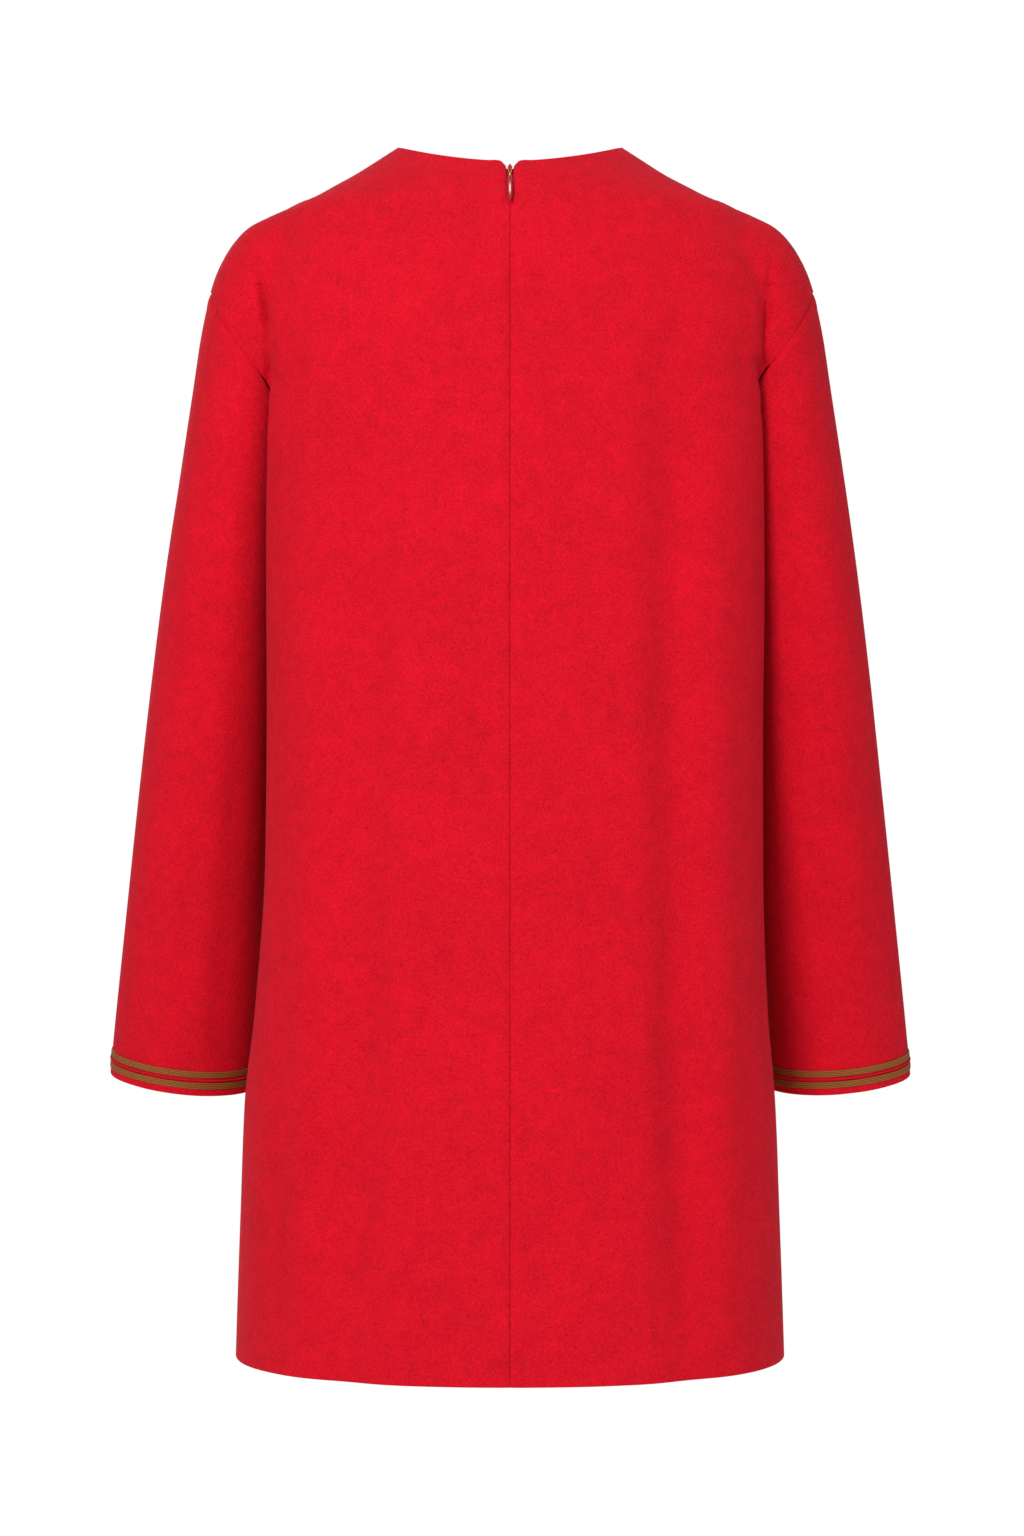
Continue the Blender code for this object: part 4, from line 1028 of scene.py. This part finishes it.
tape = tape_material()
for side, word in SIDES:
    height = np.linspace(ZIP_BOTTOM, ZIP_TOP, TAPE_ROWS)[:, None]
    half_gap = zip_half_gap(height)
    across = np.array(TAPE_ACROSS)[None, :]
    x = side * (half_gap + across)
    z = height + 0 * across
    surface, normal = zip_surface(x, z)
    to_rim = np.minimum(across, TAPE_WIDTH - across)
    rounding = TAPE_RIM * np.clip(1 - to_rim / TAPE_RIM, 0.0, 1.0) ** 2 * 0.8
    outer = surface - normal * (CLOTH + TAPE_GAP + rounding)[..., None]
    inner = surface - normal * (CLOTH + TAPE_GAP + TAPE_THICKNESS - rounding)[..., None]
    ribbon = wall_piece(f"tape_{word}", outer, inner, tape)
    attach(ribbon, "dress")
    turns = (ZIP_TOP - ZIP_BOTTOM) / COIL_PITCH
    steps = int(turns * COIL_TURN_STEPS)
    share = np.linspace(0.0, 1.0, steps)
    turn = share * turns * 2 * math.pi
    z = ZIP_BOTTOM + (ZIP_TOP - ZIP_BOTTOM) * share
    half_gap = zip_half_gap(z)
    x = side * (half_gap + COIL_MIDDLE)
    surface, normal = zip_surface(x, z)
    middle = surface - normal * (CLOTH + TAPE_GAP + TAPE_THICKNESS + COIL_BEHIND - COIL_HALF_WIDTH)
    sideways = np.array([1.0, 0.0, 0.0])
    spoke = sideways * np.cos(turn)[:, None] * COIL_HALF_WIDTH
    spoke = spoke - normal * np.sin(turn)[:, None] * COIL_HALF_DEPTH
    path = middle + spoke
    way = np.gradient(path, axis=0)
    way = way / np.linalg.norm(way, axis=-1, keepdims=True)
    out = spoke / np.linalg.norm(spoke, axis=-1, keepdims=True)
    over = np.cross(way, out)
    round_turn = np.linspace(0.0, 2 * math.pi, COIL_THREAD_STEPS + 1)[:-1, None, None]
    thread = path + COIL_THREAD * (np.cos(round_turn) * out + np.sin(round_turn) * over)
    index = np.arange(thread.shape[0] * thread.shape[1]).reshape(thread.shape[:2])
    index = np.concatenate([index, index[:1]], axis=0)
    ends = np.stack([index[:-1, 0], index[:-1, -1][::-1]])
    faces = np.concatenate([grid_faces(index), ends])
    coil = add_piece(f"coil_{word}", thread.reshape(-1, 3), faces, tape)
    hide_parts(f"zip_tape_{word}")
    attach(coil, "dress")

# Slider
# A small die-cast slider, lacquered red, whose crown shows in the notch. Its worn lower edges and the
# bail that holds the pull tab show gold-coloured metal.

METAL_GOLD = (0.620, 0.400, 0.150)
ENAMEL_RED = (0.300, 0.002, 0.007)
PULL_AXIS = np.array([0.0, -0.07855758, -0.03159357])
PULL_LEAN = -0.6515626
# The crown's outline as x and height over the pull tab's axis, and its share and depth, back to front.
CROWN = ((0.0, 0.0125), (0.0009, 0.0109), (0.0017, 0.00865), (0.0012, 0.0055), (0.0006, 0.0024),
         (-0.0006, 0.0024), (-0.0012, 0.0055), (-0.0017, 0.00865), (-0.0009, 0.0109))
CROWN_LAYERS = ((0.0, 0.0052), (0.8, 0.0052), (1.0, 0.0049), (1.0, 0.0011), (0.93, 0.0008),
                (0.75, 0.00058), (0.5, 0.00032), (0.22, 0.00014), (0.0, 0.0001))
CROWN_CENTRE = (0.0, 0.0078)
CROWN_STEPS = 72
POINT_SHARE = 0.001
EDGE_THREAD = 0.00022
EDGE_INSET = 0.93
EDGE_DEPTH = 0.00075
LEG_START = 0.0015
LEG_END = 0.0030
NECK_DEPTHS = (0.0026, 0.0028, 0.0050, 0.0052)
NECK_SHARES = (0.85, 1.0, 1.0, 0.85)
NECK_HALF = (0.0010, 0.0026)
NECK_MIDDLE = 0.0003
NECK_POWER = 0.4
BAIL_RADIUS = 0.00165
BAIL_HALF_WIDTH = 0.00045
BAIL_HALF_THICKNESS = 0.00032


def hard_material(name, colour, roughness, metallic, coat):
    """A hard finish with a faint unevenness in its gloss, and a clear coat where it is lacquered."""
    material, tree, shader = new_material(name)
    noise = add_noise(tree, Scale=900.0, Detail=3.0)
    gloss = add_math(tree, "MULTIPLY_ADD", noise, roughness * 0.6, roughness * 0.7)
    tree.links.new(gloss, shader.inputs["Roughness"])
    shader.inputs["Base Color"].default_value = (*colour, 1.0)
    shader.inputs["Metallic"].default_value = metallic
    shader.inputs["Coat Weight"].default_value = coat
    shader.inputs["Coat Roughness"].default_value = 0.06
    shader.inputs["Specular IOR Level"].default_value = 0.2
    return material


def from_zip_frame(points):
    """Turn points from the slider's own frame, whose -y faces out of the cloth, to their place."""
    x, y, z = points[..., 0], points[..., 1], points[..., 2]
    cosine = math.cos(PULL_LEAN)
    sine = math.sin(PULL_LEAN)
    turned = np.stack([x, y * cosine - z * sine, y * sine + z * cosine], axis=-1)
    return turned + PULL_AXIS


def ring_strip(index):
    """Faces between closed loops of points, each joined to the next."""
    return grid_faces(np.concatenate([index, index[:, :1]], axis=1))


def tube_along(path, out, half_width, half_thickness, steps):
    """Loops round a path: an oval of two half-widths, set out from the path and across it."""
    way = np.gradient(path, axis=0)
    way = way / np.linalg.norm(way, axis=-1, keepdims=True)
    over = half_width * np.cross(way, out)[:, None]
    turn = np.linspace(0.0, 2 * math.pi, steps + 1)[:-1][None, :, None]
    return path[:, None] + half_thickness * np.cos(turn) * out[:, None] + np.sin(turn) * over


gold = hard_material("zip_metal", METAL_GOLD, 0.25, 1.0, 0.0)
enamel = hard_material("zip_enamel", ENAMEL_RED, 0.16, 0.0, 0.5)
outline = np.array(CROWN)
closed = np.concatenate([outline, outline[:1]])
stations = np.linspace(0, len(outline), CROWN_STEPS, endpoint=False)
corner = np.arange(len(closed))
dense = np.stack([np.interp(stations, corner, closed[:, axis]) for axis in range(2)], axis=-1)
loops = []
for share, depth in CROWN_LAYERS:
    flat = np.array(CROWN_CENTRE) + (dense - np.array(CROWN_CENTRE)) * max(share, POINT_SHARE)
    loops.append(np.stack([flat[:, 0], depth + 0 * flat[:, 0], flat[:, 1]], axis=-1))
loops = np.array(loops)
index = np.arange(loops.shape[0] * loops.shape[1]).reshape(loops.shape[:2])
crown = add_piece("slider_crown", from_zip_frame(loops).reshape(-1, 3), ring_strip(index), enamel)

lower_edge = outline[2:8]
corner = np.arange(len(lower_edge))
stations = np.linspace(0, len(lower_edge) - 1, 41)
edge_path = np.stack([np.interp(stations, corner, lower_edge[:, 0]) * EDGE_INSET, EDGE_DEPTH + 0 * stations,
                      np.interp(stations, corner, lower_edge[:, 1])], axis=-1)
outward = np.broadcast_to(np.array([0.0, -1.0, 0.0]), edge_path.shape)
edge_loops = tube_along(edge_path, outward, EDGE_THREAD, EDGE_THREAD, 8)

turn = np.linspace(0.0, math.pi, 25)
arch = np.stack([0 * turn, -BAIL_RADIUS * np.sin(turn), BAIL_RADIUS * np.cos(turn)], axis=-1)
upper_legs = np.array([[0.0, LEG_END, BAIL_RADIUS], [0.0, LEG_START, BAIL_RADIUS]])
lower_legs = upper_legs[::-1] * np.array([1.0, 1.0, -1.0])
bail_path = np.concatenate([upper_legs, arch, lower_legs])
bail_out = bail_path / BAIL_RADIUS
bail_out[[0, 1, -2, -1], 1] = 0.0
bail_loops = tube_along(bail_path, bail_out, BAIL_HALF_WIDTH, BAIL_HALF_THICKNESS, 12)

turn = np.linspace(0.0, 2 * math.pi, 41)[:-1]
neck_x = NECK_HALF[0] * np.sign(np.cos(turn)) * np.abs(np.cos(turn)) ** NECK_POWER
neck_z = NECK_HALF[1] * np.sign(np.sin(turn)) * np.abs(np.sin(turn)) ** NECK_POWER
neck_loops = np.stack([np.stack([share * neck_x, depth + 0 * turn, NECK_MIDDLE + share * neck_z], axis=-1)
                       for depth, share in zip(NECK_DEPTHS, NECK_SHARES)])


def capped(loops):
    """Points and faces of a run of loops, closed at both ends by shrunken loops."""
    ends = loops[[0, -1]]
    middle = ends.mean(axis=1, keepdims=True)
    ends = middle + (ends - middle) * POINT_SHARE
    closed = np.concatenate([ends[:1], loops, ends[1:]])
    index = np.arange(closed.shape[0] * closed.shape[1]).reshape(closed.shape[:2])
    return closed.reshape(-1, 3), ring_strip(index)


points = np.empty((0, 3))
corners = np.empty((0, 4), dtype=int)
for loops in (edge_loops, bail_loops, neck_loops):
    more_points, more_corners = capped(loops)
    if face_in(more_points - more_points.mean(axis=0), more_corners):
        more_corners = more_corners[:, ::-1]
    corners = np.concatenate([corners, more_corners + len(points)])
    points = np.concatenate([points, more_points])
metal = add_piece("slider_metal", from_zip_frame(points), corners, gold)
for piece in (crown, metal):
    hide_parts("zip_slider")
    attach(piece, "dress")

# Pull tab
# A slim drop of metal, enamelled red, domed on both faces, with a slot at its top that hangs on the
# slider's bail, on which it swings up and down.

PULL_LENGTH = 0.0255
PULL_TOP = 0.0004
# Height below the axis and half width there, from the top down.
PULL_WIDTHS = ((0.0004, 0.00105), (-0.0010, 0.00150), (-0.0030, 0.00170), (-0.0130, 0.00172),
               (-0.0185, 0.00160), (-0.0222, 0.00115), (-0.0244, 0.00060), (-0.0253, 0.00025),
               (-0.0255, 0.00008))
PULL_BOW = 0.0004
EYE_HALF_WIDTH = 0.0008
EYE_TOP = -0.0004
EYE_LOW = -0.0032
PULL_HALF = 0.00045
PULL_EDGE = 0.0014
PULL_STEPS = 40
PULL_RIM_SHARE = 0.35
PULL_SHARES = (0.0, 0.012, 0.03, 0.06, 0.12, 0.22, 0.36, 0.52, 0.68, 0.82, 0.90, 0.96, 1.0)

widths = np.array(PULL_WIDTHS)
down = np.concatenate([np.linspace(PULL_TOP, EYE_LOW, PULL_STEPS, endpoint=False),
                       np.linspace(EYE_LOW, -PULL_LENGTH, PULL_STEPS + 1)])
half_width = np.interp(-down, -widths[:, 0], widths[:, 1])
right = np.stack([half_width, down], axis=-1)
left = np.stack([-half_width[::-1], down[::-1]], axis=-1)
rim = np.concatenate([right, left])
middle = np.array([0.0, (EYE_TOP + EYE_LOW) / 2])
bearing = np.arctan2(rim[:, 1] - middle[1], rim[:, 0])
eye_height = (EYE_TOP - EYE_LOW) / 2
reach = (np.abs(np.cos(bearing) / EYE_HALF_WIDTH) ** 4 + np.abs(np.sin(bearing) / eye_height) ** 4) ** -0.25
eye = middle + reach[:, None] * np.stack([np.cos(bearing), np.sin(bearing)], axis=-1)
front = []
for share in PULL_SHARES:
    spot = rim + (eye - rim) * share
    gap = np.minimum(np.linalg.norm(spot - rim, axis=-1), np.linalg.norm(spot - eye, axis=-1))
    half_width = np.interp(-spot[:, 1], -widths[:, 0], widths[:, 1])
    gap = np.minimum(gap, np.maximum(half_width - np.abs(spot[:, 0]), 0))
    near = np.clip(gap / PULL_EDGE, 0.0, 1.0)
    dome = PULL_HALF * (PULL_RIM_SHARE + (1 - PULL_RIM_SHARE) * np.sqrt(near * (2 - near)))
    front.append(np.stack([spot[:, 0], -dome, spot[:, 1]], axis=-1))
front = np.array(front)
back = front[::-1] * np.array([1.0, -1.0, 1.0])
bow = PULL_BOW * np.sin(math.pi * np.clip(-front[..., 2] / PULL_LENGTH, 0.0, 1.0))
front[..., 1] -= bow
back[..., 1] -= bow[::-1]
shell = np.concatenate([front, back])
index = np.arange(shell.shape[0] * shell.shape[1]).reshape(shell.shape[:2])
index = np.concatenate([index, index[:1]], axis=0)
pull = add_piece("pull_tab", from_zip_frame(shell).reshape(-1, 3), ring_strip(index), enamel)
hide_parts("zip_pull")
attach(pull, "zip_pull")

# Studio
# A round pale floor well below the hem, plain white all round, one soft light in front and to the
# left, a broad weaker one on the right, a small one overhead and one behind, and a level camera.

CAMERA_DISTANCE = 2.4
CAMERA_X = 0.0014
CAMERA_HEIGHT = -0.4333
PICTURE_HEIGHT = 1.0752
SENSOR = 36.0

camera_data = bpy.data.cameras.new("camera")
camera_data.sensor_width = SENSOR
camera_data.lens = SENSOR * CAMERA_DISTANCE / PICTURE_HEIGHT
camera = bpy.data.objects.new("camera", camera_data)
camera.location = (CAMERA_X, -CAMERA_DISTANCE, CAMERA_HEIGHT)
camera.rotation_euler = (math.pi / 2, 0.0, 0.0)
bpy.context.scene.collection.objects.link(camera)
bpy.context.scene.camera = camera

FLOOR_HEIGHT = -1.25
FLOOR_RADIUS = 1.2
FLOOR_STEPS = 96
FLOOR_PALE = (0.90, 0.90, 0.90, 1.0)

floor_material, floor_tree, floor_shader = new_material("studio_floor")
floor_shader.inputs["Base Color"].default_value = FLOOR_PALE
floor_shader.inputs["Roughness"].default_value = 0.9
turn = np.linspace(0.0, 2 * math.pi, FLOOR_STEPS + 1)[:-1]
rim_x = FLOOR_RADIUS * np.cos(turn)
rim_y = FLOOR_RADIUS * np.sin(turn)
rim = np.stack([rim_x, rim_y, FLOOR_HEIGHT + 0 * turn], axis=-1)
floor_mesh = bpy.data.meshes.new("studio_floor")
floor_mesh.from_pydata(rim.tolist(), [], [tuple(range(FLOOR_STEPS))])
floor_mesh.materials.append(floor_material)
floor = bpy.data.objects.new("studio_floor", floor_mesh)
bpy.context.scene.collection.objects.link(floor)

# Name, place, what it is aimed at, its two sizes and its power.
LIGHTS = (
    ("key_light", (-0.8, -2.1, 0.55), (0.0, 0.0, -0.33), (0.7, 0.8), 43.0),
    ("fill_light", (1.5, -2.3, 0.1), (0.0, 0.0, -0.40), (1.8, 1.8), 18.0),
    ("top_light", (0.0, -0.237, 1.25), (0.0, -0.08, -0.045), (0.16, 0.14), 1.0),
    ("far_light", (-0.5, 2.6, 0.3), (0.0, 0.0, -0.40), (1.8, 1.8), 34.0),
)
for name, place, target, size, power in LIGHTS:
    light_data = bpy.data.lights.new(name, "AREA")
    light_data.shape = "RECTANGLE"
    light_data.size, light_data.size_y = size
    light_data.energy = power
    light = bpy.data.objects.new(name, light_data)
    light.location = place
    aim = np.array(target) - np.array(place)
    level = math.hypot(aim[0], aim[1])
    light.rotation_euler = (math.atan2(level, -aim[2]), 0.0, math.atan2(aim[1], aim[0]) - math.pi / 2)
    bpy.context.scene.collection.objects.link(light)

AMBIENT = 0.56
world = bpy.data.worlds.new("studio_air")
world.use_nodes = True
air = world.node_tree
ambient = air.nodes["Background"]
ambient.inputs["Color"].default_value = (1.0, 1.0, 1.0, 1.0)
ambient.inputs["Strength"].default_value = AMBIENT
backdrop = add_node(air, "ShaderNodeBackground", Color=(1.0, 1.0, 1.0, 1.0), Strength=1.0)
path = add_node(air, "ShaderNodeLightPath")
chooser = add_node(air, "ShaderNodeMixShader")
air.links.new(path.outputs["Is Camera Ray"], chooser.inputs[0])
air.links.new(ambient.outputs[0], chooser.inputs[1])
air.links.new(backdrop.outputs[0], chooser.inputs[2])
air.links.new(chooser.outputs[0], air.nodes["World Output"].inputs["Surface"])
bpy.context.scene.world = world
bpy.context.scene.view_settings.view_transform = "Standard"
